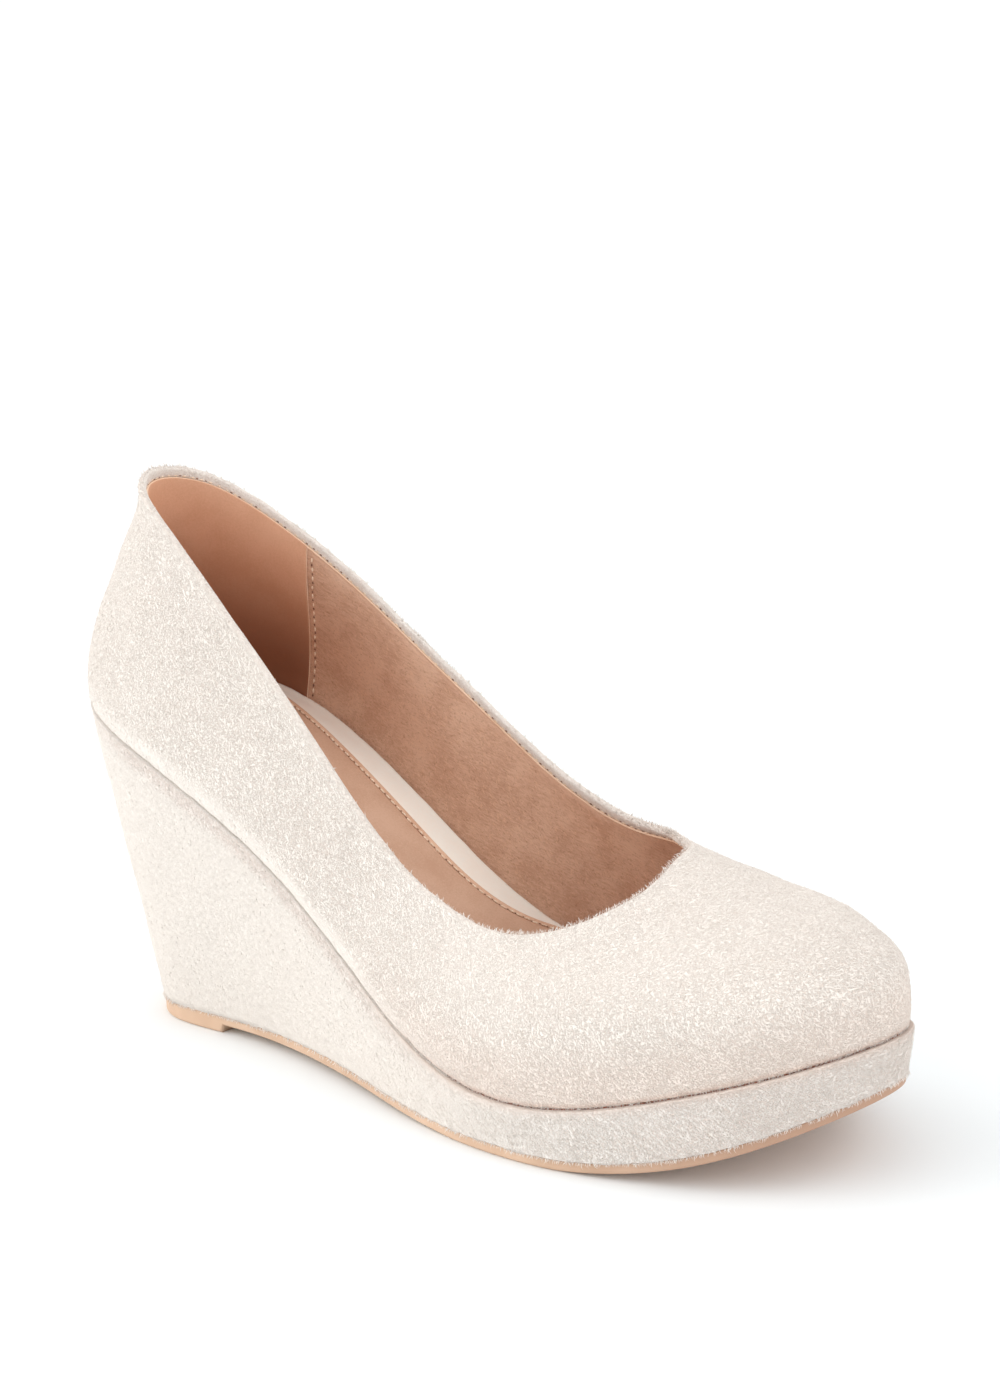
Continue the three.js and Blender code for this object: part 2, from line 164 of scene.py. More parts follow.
BOTTOM_ROWS = [  # along, share of the drop from heel to ball, share of the toe spring
    [0, 1, 0],
    [0.15, 0.85, 0],
    [0.35, 0.522, 0],
    [0.5, 0.172, 0],
    [0.62, 0.01, 0],
    [0.72, 0, 0],
    [0.85, 0, 0.38],
    [1, 0, 1],
]
UNDERSIDE_ROWS = [  # along, share of the heel pad's step, share of the toe spring
    [0.1, 0.96, 0],
    [0.3, 1, 0],
    [0.45, 0.86, 0],
    [0.58, 0.29, 0],
    [0.7, 0, 0],
    [0.85, 0, 0.235],
    [1, 0, 1.015],
]
SOCK_ROWS = [  # along, lateral and medial strip beside the sock
    [0, 0.05, 0.05],
    [0.12, 0.05, 0.155],
    [0.19, 0.05, 0.195],
    [0.27, 0.05, 0.216],
    [0.34, 0.05, 0.227],
    [0.4, 0.05, 0.232],
    [0.44, 0.05, 0.222],
    [0.485, 0.05, 0.15],
    [0.53, 0.03, 0.03],
    [0.6, 0.02, 0],
    [1, 0.02, 0],
]


# The last's shape
def named(columns, rows):
    """Turns a table into rows whose values have names."""
    return [dict(zip(columns, row)) for row in rows]


def spline(knots, values, closed=False):
    """A smooth curve through values at knots, either open or closed over one turn."""
    knots = np.array(knots, float)
    values = np.array(values, float)
    count = len(values)
    steps = np.diff(knots)
    matrix = np.eye(count)
    right = np.zeros(count)
    for k in range(count) if closed else range(1, count - 1):
        last, after = (k - 1) % count, (k + 1) % count
        matrix[k, last] = steps[last]
        matrix[k, k] = 2 * (steps[last] + steps[k])
        matrix[k, after] = steps[k]
        slope_before = (values[k] - values[last]) / steps[last]
        right[k] = 6 * ((values[after] - values[k]) / steps[k] - slope_before)
    bends = np.linalg.solve(matrix, right)

    def value(place):
        place = np.mod(place, 1.0) if closed else np.asarray(place, float)
        k = np.clip(np.searchsorted(knots, place, side="right") - 1, 0, len(steps) - 1)
        after = (k + 1) % count
        width, offset = steps[k], place - knots[k]
        slope = (values[after] - values[k]) / width - width * (2 * bends[k] + bends[after]) / 6
        twist = (bends[after] - bends[k]) / (6 * width)
        return values[k] + offset * (slope + offset * (bends[k] / 2 + offset * twist))

    return value


def stations():
    """The stations around the shoe: back, lateral side, tip, medial side."""
    lines = {
        "feather": named(FEATHER_COLUMNS, FEATHER_ROWS),
        "tread": named(FEATHER_COLUMNS, TREAD_ROWS),
        "topline": named(TOPLINE_COLUMNS, TOPLINE_ROWS),
    }
    walls = named(WALL_COLUMNS, WALL_ROWS)
    back = lines["topline"][0]["lateral_along"]
    throat = lines["topline"][TIP_SECTION]["lateral_along"]

    def station(index, side):
        sign = -1 if side == "lateral" and index != TIP_SECTION else 1
        one = {}
        for line, rows in lines.items():
            one[line + "_x"] = rows[index][side + "_along"] * LAST_LENGTH
            one[line + "_y"] = rows[index][side + "_across"] * (BALL_WIDTH / 2) * sign
        top, wall = lines["topline"][index], walls[index]
        forward = (top[side + "_along"] - back) / (throat - back)
        height = BACK_HEIGHT + (THROAT_HEIGHT - BACK_HEIGHT) * forward
        one["topline_rise"] = top[side + "_height"] * height
        for key in ("rise", "swell", "reach"):
            one[key] = wall[key] * BACK_HEIGHT
        one["fall"] = math.radians(wall["fall"])
        one["proud"] = wall["proud"] * PLATFORM_PROUD
        return one

    lateral = [station(index, "lateral") for index in range(TIP_SECTION + 1)]
    return lateral + [station(index, "medial") for index in range(TIP_SECTION - 1, 0, -1)]


def turn_curves(around):
    """Closed curves of every station value, and the turn of the toe's tip."""
    plan = np.array([[one["feather_x"], one["feather_y"]] for one in around])
    steps = np.linalg.norm(np.roll(plan, -1, 0) - plan, axis=1)
    knots = np.concatenate([[0], np.cumsum(steps)]) / steps.sum()
    curves = {key: spline(knots, [one[key] for one in around], closed=True) for key in around[0]}
    return curves, knots[TIP_SECTION]


shoe, TIP = turn_curves(stations())
bottom_height = spline(
    [row[0] * LAST_LENGTH for row in BOTTOM_ROWS],
    [BALL_HEIGHT + row[1] * (HEEL_HEIGHT - BALL_HEIGHT) + row[2] * TOE_SPRING for row in BOTTOM_ROWS],
)
underside_curve = spline(
    [row[0] * LAST_LENGTH for row in UNDERSIDE_ROWS],
    [row[1] * HEEL_PAD_STEP + row[2] * TOE_SPRING for row in UNDERSIDE_ROWS],
)


def sheet_underside(x):
    return np.maximum(0, underside_curve(x) - TREAD_FLAT)


def tread_height(x):
    return np.where(x < HEEL_PAD_FRONT + HEEL_PAD_SLOPE / 2, 0, sheet_underside(x))


def sheet_top(x):
    return sheet_underside(x) + OUTSOLE_THICKNESS


def unit(vectors):
    return vectors / np.linalg.norm(vectors, axis=-1, keepdims=True)


def outward(turn):
    """The direction straight out of the feather line, seen from above."""
    aside = 1e-4
    dx = shoe["feather_x"](turn + aside) - shoe["feather_x"](turn - aside)
    dy = shoe["feather_y"](turn + aside) - shoe["feather_y"](turn - aside)
    return unit(np.stack([dy, -dx], -1))


def flat_step(direction, length):
    """Moves in plan by a length along a plan direction."""
    length = np.broadcast_to(length, direction.shape[:-1])
    return np.concatenate([direction * length[..., None], np.zeros(direction.shape[:-1] + (1,))], -1)


def lifted(points, lift):
    moved = points.copy()
    moved[..., 2] += lift
    return moved


def wall_point(turn, height):
    """A point on the upper's outer face: height 0 is the feather line and 1 is the topline."""
    turn, height = np.broadcast_arrays(np.asarray(turn, float), np.asarray(height, float))
    out = outward(turn)
    x, top_x = shoe["feather_x"](turn), shoe["topline_x"](turn)
    reach, fall = shoe["reach"](turn), shoe["fall"](turn)
    feather = np.stack([x, shoe["feather_y"](turn), bottom_height(x)], -1)
    top_z = bottom_height(top_x) + shoe["topline_rise"](turn)
    top = np.stack([top_x, shoe["topline_y"](turn), top_z], -1)
    lower = lifted(feather + flat_step(out, shoe["swell"](turn)), shoe["rise"](turn))
    higher = lifted(top + flat_step(out, np.cos(fall) * reach), -np.sin(fall) * reach)
    h = height[..., None]
    return (1 - h) ** 3 * feather + 3 * (1 - h) ** 2 * h * lower + 3 * (1 - h) * h * h * higher + h**3 * top


def wall_directions(turn, height):
    """Unit vectors at a point of the outer face: up the wall, out of it, and forward along it."""
    turn, height = np.broadcast_arrays(np.asarray(turn, float), np.asarray(height, float))
    aside = 1e-3
    above = wall_point(turn, np.minimum(1, height + aside))
    up = unit(above - wall_point(turn, np.maximum(0, height - aside)))
    along = unit(wall_point(turn + aside, height) - wall_point(turn - aside, height))
    return up, unit(np.cross(along, up)), along


def height_below_top(turn, distance):
    """The wall height that lies a small distance below the topline."""
    return 1 - distance / (3 * shoe["reach"](turn))


def height_above_seam(turn, distance):
    """The wall height that lies a small distance above the feather line."""
    return distance / (3 * np.hypot(shoe["swell"](turn), shoe["rise"](turn)))


def inside_point(turn, height, offset):
    """A point in the wall, an offset in from the upper's outer face."""
    _, out, _ = wall_directions(turn, height)
    return wall_point(turn, height) - out * offset


def plan_points(line, turn, offset):
    """Where the feather or tread line runs when it is moved straight out by an offset."""
    out = outward(turn)
    x = shoe[line + "_x"](turn) + out[:, 0] * offset
    return x, shoe[line + "_y"](turn) + out[:, 1] * offset


def feather_loop(turn, offset, lift):
    """The feather line moved straight in or out, at a height above the last's bottom."""
    x, y = plan_points("feather", turn, offset)
    return np.stack([x, y, bottom_height(x) + lift], -1)


def tread_loop(turn, inset, heights):
    """The outsole's outline, drawn in by an inset."""
    return np.stack([*plan_points("tread", turn, -inset), heights], -1)


def foot_loop(turn, inset, lift):
    """The outsole's outline at a lift above the outsole's top face."""
    return tread_loop(turn, inset, sheet_top(shoe["tread_x"](turn)) + lift)


def even_turns(columns):
    """Turns around the shoe, half of them on each side of the tip."""
    side = columns // 2
    lateral = TIP * np.arange(side) / side
    return np.concatenate([lateral, TIP + (1 - TIP) * np.arange(side) / side])


def smooth_step(low, high, value):
    share = np.clip((value - low) / (high - low), 0, 1)
    return share * share * (3 - 2 * share)


def forefoot(turn):
    """1 around the toe and ball, falling to 0 at the waist and heel."""
    return smooth_step(95, 150, shoe["feather_x"](turn))


def waist_side(turn):
    """1 at the heel and waist of the lateral side, where the wedge dips under the upper."""
    return (1 - forefoot(turn)) * smooth_step(0.02, 0.11, turn) * (turn < TIP)


def waves(points, relief, count=28):
    """Smooth random waves through space, from a height, a wavelength and a seed."""
    height, wavelength, seed = relief
    rng = np.random.default_rng(seed)
    directions = unit(rng.normal(size=(count, 3)))
    lengths = wavelength * rng.uniform(0.6, 1.7, count)
    phases = rng.uniform(0, 2 * math.pi, count)
    total = np.zeros(points.shape[:-1])
    for direction, length, phase in zip(directions, lengths, phases):
        total += np.sin(points @ direction * (2 * math.pi / length) + phase)
    return height * (total * math.sqrt(2 / count))


# Meshes
def band_faces(loops, count, closed):
    """Quads between loops of points that run down the outside of a solid."""
    k = np.arange(count)
    after = (k + 1) % count
    pairs = [(row, row + 1) for row in range(loops - 1)]
    if closed:
        pairs.append((loops - 1, 0))
    quads = []
    for upper, lower in pairs:
        a, b = upper * count, lower * count
        quads.append(np.stack([a + k, b + k, b + after, a + after], -1))
    return np.concatenate(quads).tolist()


def cap_faces(start, count, faces_up):
    """Closes a loop with strips that run across the shoe."""
    half = count // 2
    lateral = [start + k for k in range(half + 1)]
    medial = [start + (count - k) % count for k in range(half + 1)]
    faces = [[lateral[0], lateral[1], medial[1]]]
    faces += [[lateral[k], lateral[k + 1], medial[k + 1], medial[k]] for k in range(1, half - 1)]
    faces.append([lateral[half - 1], lateral[half], medial[half - 1]])
    return faces if faces_up else [face[::-1] for face in faces]


def add_object(name, data):
    """Puts an object with this data into the scene."""
    thing = bpy.data.objects.new(name, data)
    bpy.context.scene.collection.objects.link(thing)
    return thing


def add_piece(name, points, faces, materials, replaces=None, face_materials=None, weights=None):
    """Makes a smooth-shaded mesh in the row frame that rides on the shoe."""
    mesh = bpy.data.meshes.new(name)
    mesh.from_pydata(((points + CAD_CENTRING) * MM).tolist(), [], faces)
    mesh.polygons.foreach_set("use_smooth", [True] * len(mesh.polygons))
    for material in materials:
        mesh.materials.append(material)
    if face_materials is not None:
        mesh.polygons.foreach_set("material_index", face_materials)
    for weight, values in (weights or {}).items():
        mesh.attributes.new(weight, "FLOAT", "POINT").data.foreach_set("value", np.ravel(values))
    mesh.update()
    piece = add_object(name, mesh)
    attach(piece, "root")
    if replaces:
        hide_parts(replaces)
    return piece


def add_solid(name, loops, materials, replaces=None, weights=None, hollow=False):
    """A closed solid from loops that run from its top face down to its underside.

    The loops of a hollow wall go on up its inside, back to the first one."""
    count = len(loops[0])
    faces = band_faces(len(loops), count, hollow)
    if not hollow:
        faces += cap_faces(0, count, True)
        faces += cap_faces((len(loops) - 1) * count, count, False)
    return add_piece(name, np.concatenate(loops), faces, materials, replaces, None, weights)


def add_strip(name, front, back, materials, weights=None):
    """A closed sheet between a front and a back grid of points. Its edge has the last material."""
    rows, columns = front.shape[:2]
    index = np.arange(rows * columns).reshape(rows, columns)
    a, b, c, d = index[:-1, :-1], index[:-1, 1:], index[1:, 1:], index[1:, :-1]
    faces = np.stack([a, b, c, d], -1).reshape(-1, 4).tolist()
    faces += (np.stack([d, c, b, a], -1) + rows * columns).reshape(-1, 4).tolist()
    edge = np.concatenate([index[0, :], index[1:, -1], index[-1, -2::-1], index[-2:0:-1, 0]])
    far_edge = edge + rows * columns
    after = np.roll(np.arange(len(edge)), -1)
    slots = [0] * len(faces)
    faces += np.stack([edge[after], edge, far_edge, far_edge[after]], -1).tolist()
    slots += [len(materials) - 1] * len(edge)
    points = np.concatenate([front.reshape(-1, 3), back.reshape(-1, 3)])
    return add_piece(name, points, faces, materials, None, slots, weights)


# Materials
class Shader:
    """A Principled material with its node tree, and short calls for the nodes in it."""

    def __init__(self, name, roughness, **sockets):
        self.material = bpy.data.materials.new(name)
        self.material.use_nodes = True
        self.tree = self.material.node_tree
        self.principled = self.tree.nodes["Principled BSDF"]
        self.fill(self.principled, Roughness=roughness, **sockets)
        self.place = self.add("TexCoord").outputs["Object"]

    def put(self, socket, value):
        """Links an output to a socket, or sets the socket's value."""
        if isinstance(value, bpy.types.NodeSocket):
            self.tree.links.new(value, socket)
        else:
            socket.default_value = value

    def fill(self, node, **sockets):
        for name, value in sockets.items():
            self.put(node.inputs[name.replace("_", " ")], value)

    def add(self, kind, **sockets):
        """A new node with its sockets filled."""
        node = self.tree.nodes.new("ShaderNode" + kind)
        self.fill(node, **sockets)
        return node

    def stretch(self, length, turn):
        """Coordinates in which a pattern comes out this many times longer along a turned axis."""
        node = self.add("Mapping", Vector=self.place, Rotation=turn, Scale=(length, 1, 1))
        node.vector_type = "TEXTURE"
        return node.outputs["Vector"]

    def noise(self, size, detail=2.0, rough=0.5, distortion=0.0, vector=None):
        """Noise from 0 to 1 with lumps of about this size in millimetres."""
        node = self.add("TexNoise", Vector=vector or self.place, Scale=1 / (size * MM))
        self.fill(node, Detail=detail, Roughness=rough, Distortion=distortion)
        return node.outputs["Fac"]

    def weight(self, name):
        """A weight from 0 to 1 that the mesh carries at its points."""
        node = self.add("Attribute")
        node.attribute_name = name
        return node.outputs["Fac"]

    def maths(self, operation, first, second=0.0, third=0.0):
        """The result of a sum; MULTIPLY_ADD is first times second, plus third."""
        node = self.add("Math")
        node.operation = operation
        for socket, value in zip(node.inputs, (first, second, third)):
            self.put(socket, value)
        return node.outputs[0]

    def remap(self, value, low, high, to_low=0.0, to_high=1.0):
        """A smooth step from one value to another between two limits."""
        node = self.add("MapRange", Value=value, From_Min=low, From_Max=high)
        self.fill(node, To_Min=to_low, To_Max=to_high)
        node.interpolation_type = "SMOOTHSTEP"
        return node.outputs["Result"]

    def blend(self, share, first, second):
        """A mix of two colours. The node's colour sockets share their names, so they go by number."""
        node = self.add("Mix")
        node.data_type = "RGBA"
        for number, value in ((0, share), (6, first), (7, second)):
            self.put(node.inputs[number], value)
        return node.outputs[2]

    def colour(self, value):
        self.fill(self.principled, Base_Color=value)

    def bump(self, height, depth):
        """Relief of this depth in millimetres."""
        node = self.add("Bump", Height=height, Distance=depth * MM)
        self.fill(self.principled, Normal=node.outputs["Normal"])


def srgb(red, green, blue):
    """A display colour as the linear colour that a shader takes."""
    channels = [value / 255 for value in (red, green, blue)]
    linear = [c / 12.92 if c <= 0.04045 else ((c + 0.055) / 1.055) ** 2.4 for c in channels]
    return (*linear, 1.0)


NAP_TURNS = ((0.1, 1.0, -0.35), (0.0, 0.55, 0.5), (0.3, -0.15, 1.1))  # the ways that the nap lies
# Colour of the pits between the fibres: partly the nap's own darker ground, partly painted shade in its
# hollows
PIT_COLOUR = srgb(200, 182, 168)
# A darker pinkish colour that paints shade where the suede lies in shade: seam creases, the turned-in band,
# the toe's lower side and the wedge's valley
PAINTED_PINK_SHADE_COLOUR = srgb(236, 210, 195)


def suede(name, light, ground, calm, length, waviness):
    """Brushed suede: fine pale fibres, a few times longer than wide, over a deeper ground.

    The mesh's weights say how rough the nap is (grain) and how much pinkish painted shade it takes
    (painted_pink_shade). Where it is smooth it has the calm colour."""
    shader = Shader(name, 0.95, Specular_IOR_Level=0.1, Sheen_Weight=0.08, Sheen_Roughness=0.5)
    shader.fill(shader.principled, Sheen_Tint=srgb(255, 250, 244))
    rough = shader.weight("grain")
    fibres = None
    for turn in NAP_TURNS:
        lie = shader.noise(0.25, 1.0, 0.5, waviness, shader.stretch(length, turn))
        strands = shader.remap(lie, 0.5, 0.62)
        fibres = strands if fibres is None else shader.maths("MAXIMUM", fibres, strands)
    grain = shader.noise(0.36, 1.0, 0.5)
    pits = shader.remap(grain, 0.3, 0.42, 1.0, 0.0)
    cloud = shader.remap(shader.noise(16.0, 2.0), 0.3, 0.7)
    cover = shader.maths("MULTIPLY_ADD", cloud, -0.12, 0.96)
    deep = shader.blend(rough, calm, ground)
    pale = shader.blend(rough, calm, light)
    tone = shader.blend(shader.maths("MULTIPLY", fibres, cover), deep, pale)
    # The pits darken the hollows between the fibres: partly the nap's own tone, partly painted shade
    hollow = shader.maths("MULTIPLY", pits, shader.maths("SUBTRACT", 1.0, fibres))
    pitted = shader.maths("MULTIPLY", hollow, shader.maths("MULTIPLY", rough, 0.6))
    marked = shader.blend(pitted, tone, PIT_COLOUR)
    # Painted shade: the pinkish colour is mixed in by the painted_pink_shade weight
    shader.colour(shader.blend(shader.weight("painted_pink_shade"), marked, PAINTED_PINK_SHADE_COLOUR))
    relief = shader.maths("MULTIPLY_ADD", grain, 0.5, fibres)
    height = shader.maths("MULTIPLY_ADD", rough, 0.65, 0.35)
    shader.bump(shader.maths("MULTIPLY", relief, height), 0.16)
    return shader.material


def nap_lining(name, light, deep, fibre_tip, speck, rim):
    """The brushed lining of the vamp: mottled, with short fibres, darker specks and a pale rim."""
    shader = Shader(name, 0.85, Specular_IOR_Level=0.2, Sheen_Weight=0.1, Sheen_Roughness=0.4)
    streak = shader.noise(0.45, 2.0, 0.6, 0.6, shader.stretch(5.0, (0.2, 0.35, 0.15)))
    cross = shader.noise(0.4, 1.0, 0.5, 0.6, shader.stretch(4.0, (0.0, 1.0, 0.5)))
    cloud = shader.noise(9.0, 3.0)
    tone = shader.maths("MULTIPLY_ADD", streak, 0.5, shader.maths("MULTIPLY", cloud, 0.5))
    base = shader.blend(shader.remap(tone, 0.36, 0.64), deep, light)
    lit = shader.blend(shader.remap(cross, 0.56, 0.72, 0.0, 0.6), base, fibre_tip)
    specks = shader.remap(shader.noise(0.55, 1.0), 0.28, 0.4, 0.35, 0.0)
    marked = shader.blend(specks, lit, speck)
    shader.colour(shader.blend(shader.weight("rim"), marked, rim))
    shader.bump(shader.maths("MULTIPLY_ADD", streak, 0.6, cross), 0.12)
    return shader.material


def smooth_leather(name, light, deep, grain_size, depth, roughness, shade=None):
    """Smooth leather with a fine grain and faint clouds and, when given, a painted shade colour mixed in by
    the mesh's depth weight.
    """
    shader = Shader(name, roughness, Specular_IOR_Level=0.35)
    cloud = shader.noise(11.0, 3.0)
    grain = shader.noise(grain_size, 3.0, 0.6)
    tone = shader.maths("MULTIPLY_ADD", grain, 0.45, shader.maths("MULTIPLY", cloud, 0.55))
    base = shader.blend(shader.remap(tone, 0.35, 0.65), deep, light)
    if shade:
        base = shader.blend(shader.weight("depth"), base, shade)
    shader.colour(base)
    shader.bump(grain, depth)
    return shader.material


def rubber(name, light, deep, shade):
    """The tan outsole: smooth, faintly clouded, and darker by the mesh's depth weight, a painted shade."""
    shader = Shader(name, 0.5, Specular_IOR_Level=0.4)
    cloud = shader.noise(14.0, 3.0)
    grain = shader.noise(0.4, 2.0)
    base = shader.blend(shader.remap(cloud, 0.35, 0.65), deep, light)
    shader.colour(shader.blend(shader.weight("depth"), base, shade))
    shader.fill(shader.principled, Roughness=shader.remap(grain, 0.3, 0.7, 0.45, 0.6))
    shader.bump(grain, 0.03)
    return shader.material


def thread(name, light, deep):
    """Twisted sewing thread or, with dark colours, the painted shade of a needle hole."""
    shader = Shader(name, 0.7, Specular_IOR_Level=0.3)
    twist = shader.noise(0.35, 1.0)
    shader.colour(shader.blend(shader.remap(twist, 0.35, 0.65), deep, light))
    shader.bump(twist, 0.05)
    return shader.material


def seam_shade_cord_material(name, light, deep, pale):
    """A twisted cord's colour that paints the shade in the seam's groove: dark where the mesh isn't
    weighted as pale.
    """
    shader = Shader(name, 0.75, Specular_IOR_Level=0.2)
    twist = shader.remap(shader.noise(0.35, 1.0), 0.35, 0.65)
    dark = shader.blend(twist, deep, light)
    shader.colour(shader.blend(shader.weight("pale"), dark, pale))
    shader.bump(twist, 0.05)
    return shader.material


def fibre_suede(name, colour):
    """One plain colour for the loose fibres."""
    shader = Shader(name, 0.95, Specular_IOR_Level=0.1, Sheen_Weight=0.1)
    shader.colour(colour)
    return shader.material


upper_suede = suede(
    "upper_suede",
    light=srgb(251, 244, 236),
    ground=srgb(235, 222, 212),
    calm=srgb(247, 239, 231),
    length=4.5,
    waviness=0.5,
)
wedge_suede = suede(
    "wedge_suede",
    light=srgb(255, 252, 247),
    ground=srgb(248, 236, 227),
    calm=srgb(241, 232, 223),
    length=4.8,
    waviness=1.2,
)
suede_fibre = fibre_suede("suede_fibre", srgb(249, 241, 234))
vamp_lining = nap_lining(
    "vamp_lining",
    light=srgb(227, 188, 162),
    deep=srgb(205, 162, 136),
    fibre_tip=srgb(232, 192, 160),
    speck=srgb(160, 114, 92),
    rim=srgb(246, 212, 188),
)
# The quarter lining's last colour is a painted shade for the dark heel cup
quarter_lining = smooth_leather(
    "quarter_lining", srgb(230, 180, 149), srgb(220, 168, 136), 0.5, 0.04, 0.6, shade=srgb(140, 88, 62)
)
raw_edge = smooth_leather("raw_lining_edge", srgb(244, 212, 186), srgb(230, 190, 160), 0.4, 0.08, 0.85)
board_skin = smooth_leather("board_skin", srgb(255, 251, 242), srgb(255, 247, 236), 0.8, 0.02, 0.65)
sock_skin = smooth_leather("sock_skin", srgb(212, 174, 149), srgb(199, 158, 132), 0.45, 0.05, 0.6)
rim_skin = smooth_leather("sock_rim", srgb(232, 194, 166), srgb(214, 170, 141), 0.45, 0.05, 0.55)
# The rubber's last colour is a painted shade for its toe
tan_rubber = rubber("tan_rubber", srgb(225, 193, 166), srgb(212, 178, 150), shade=srgb(188, 150, 126))
pale_thread = thread("pale_thread", srgb(255, 238, 216), srgb(240, 208, 180))
# The dark colours paint the shade in the seam's groove
seam_shade_cord = seam_shade_cord_material(
    "seam_shade_cord", light=srgb(178, 118, 96), deep=srgb(110, 62, 46), pale=srgb(250, 240, 231)
)
# Dark beads that paint the shade inside the needle holes
needle_hole_shade = thread("needle_hole_shade", srgb(158, 118, 98), srgb(122, 86, 70))


# The upper
# The second value of each pair is the share of pinkish painted shade.
EDGE_NAP = (0.5, 0.1)  # how rough and how pink the nap is on the rolled edge
HIDDEN_NAP = (0.5, 0.5)
BAND_GRAIN = 0.7  # how rough it is on the turned-in band


def tuck(turn, distance):
    """How far the upper's foot is drawn in, at a distance above its bottom edge."""
    radius = TUCK_RADIUS * (1 + WAIST_TUCK_RADIUS * waist_side(turn))
    depth = TUCK_DEPTH * (1 + WAIST_TUCK_DEPTH * waist_side(turn))
    share = np.clip(1 - distance / radius, 0, 1)
    almost_round = 0.999
    return depth * (1 - np.sqrt(1 - share * share * almost_round))


def outer_face(turn, height):
    """The suede's surface, with its soft unevenness and its tuck at the seam."""
    turn, height = np.broadcast_arrays(np.asarray(turn, float), np.asarray(height, float))
    point = wall_point(turn, height)
    _, out, _ = wall_directions(turn, height)
    distance = height / np.maximum(height_above_seam(turn, 1.0), 1e-9) - SEAM_GAP
    fade = np.minimum(1, distance / 6).clip(0) * np.minimum(1, (1 - height) * 8)
    relief = waves(point, UPPER_RELIEF) * fade
    pull = waves(point, UPPER_PULL) * np.exp(-((distance / 5) ** 2)) * (distance > 0)
    return point + out * (relief + pull - tuck(turn, distance))[..., None]


def upper_weights(turn, height):
    """How rough the upper's nap is at a place of its outer face, and how much pinkish painted shade it
    takes.
    """
    distance = height / height_above_seam(turn, 1.0)
    lip = waist_side(turn) * (1 - smooth_step(4, 9, distance))
    top = forefoot(turn) * smooth_step(0.4, 0.8, height)
    grain = (1 - 0.75 * lip) * (1 - 0.25 * top)
    # Pinkish painted shade on the toe's lower side above the seam, stronger in the seam's crease
    low = 0.35 * (1 - smooth_step(4, 24, distance)) + 0.45 * (1 - smooth_step(0.4, 2.2, distance))
    return grain, forefoot(turn) * low


def topline_edge(turn, angle):
    """The rolled edge: angle 0 is its outer side and 180 its inner side, in degrees."""
    up, out, _ = wall_directions(turn, 1)
    top = wall_point(turn, 1)
    across = np.broadcast_to(UPPER_WALL / 2 * (np.cos(np.radians(angle)) - 1), turn.shape)
    lift = EDGE_ROLL * np.sin(np.radians(angle)) * (1 + waves(top, TOPLINE_RELIEF))
    return top + out * across[:, None] + up * lift[:, None]


def inner_face(turn, below, offset):
    """A row inside the wall, a distance below the topline and an offset in from the outer face."""
    return inside_point(turn, height_below_top(turn, below), offset)


def make_upper():
    turn = even_turns(UPPER_COLUMNS)
    loops, grain, painted_pink_shade = [], [], []

    def add(loop, rough, shade_share):
        loops.append(loop)
        grain.append(np.broadcast_to(rough, turn.shape))
        painted_pink_shade.append(np.broadcast_to(shade_share, turn.shape))

    def add_outer(height):
        add(outer_face(turn, height), *upper_weights(turn, height))

    for angle in (90, 67, 45, 22):
        add(topline_edge(turn, angle), *EDGE_NAP)
    for height in 1 - np.linspace(0, 1, 64)[:-1] ** 1.15:
        add_outer(np.maximum(height, height_above_seam(turn, 3.0) + height * 0.02))
    for distance in (2.4, 1.9, 1.45, 1.05, 0.75, 0.5, 0.36, SEAM_GAP):
        add_outer(height_above_seam(turn, distance))
    hidden = UPPER_WALL - LINING_ROOM
    add(feather_loop(turn, -hidden, SEAM_GAP), *HIDDEN_NAP)
    for height in np.linspace(0.03, 0.9, 9):
        add(inside_point(turn, height, hidden), *HIDDEN_NAP)
    # Pinkish painted shade on the turned-in band inside the topline
    for below, offset, shade_share in (
        (TURN_IN + 0.4, hidden, 0.3),
        (TURN_IN, UPPER_WALL - 0.15, 0.3),
        (TURN_IN - 0.3, UPPER_WALL, 0.25),
        (TURN_IN * 0.45, UPPER_WALL + 0.05, 0.15),
    ):
        add(inner_face(turn, below, offset), BAND_GRAIN, shade_share)
    for angle in (180, 157, 135, 112):
        add(topline_edge(turn, angle), BAND_GRAIN, 0.08)
    weights = {"grain": grain, "painted_pink_shade": painted_pink_shade}
    add_solid("upper_cover", loops, [upper_suede], "upper", weights, hollow=True)


# The linings
LINING_SHARES = np.linspace(0, 1, 60) ** 1.4  # rows down the wall, closer at the top
LATERAL_SEAM = TIP * (1 - (MEDIAL_SEAM - TIP) / (1 - TIP))


def lining_grid(turns, offset):
    """Rows from under the turned-in edge down to the board, an offset in from the outer face."""
    top = height_below_top(turns, TURN_IN + 0.05)
    rows = [inside_point(turns, top * (1 - share) + 0.005 * share, offset) for share in LINING_SHARES]
    return np.array(rows)


def make_vamp_lining():
    turns = np.linspace(LATERAL_SEAM - 0.012, MEDIAL_SEAM + 0.012, 420)
    front = lining_grid(turns, UPPER_WALL + 0.02)
    front += waves(front, LINING_RELIEF)[..., None]
    back = lining_grid(turns, UPPER_WALL - LINING_THICKNESS)
    rows = np.linalg.norm(np.diff(front, axis=0, prepend=front[:1]), axis=-1)
    below = np.cumsum(rows, axis=0)
    rim = [0.6 * np.exp(-((below / 1.6) ** 2))] * 2
    add_strip("vamp_lining", front, back, [vamp_lining], {"rim": rim})


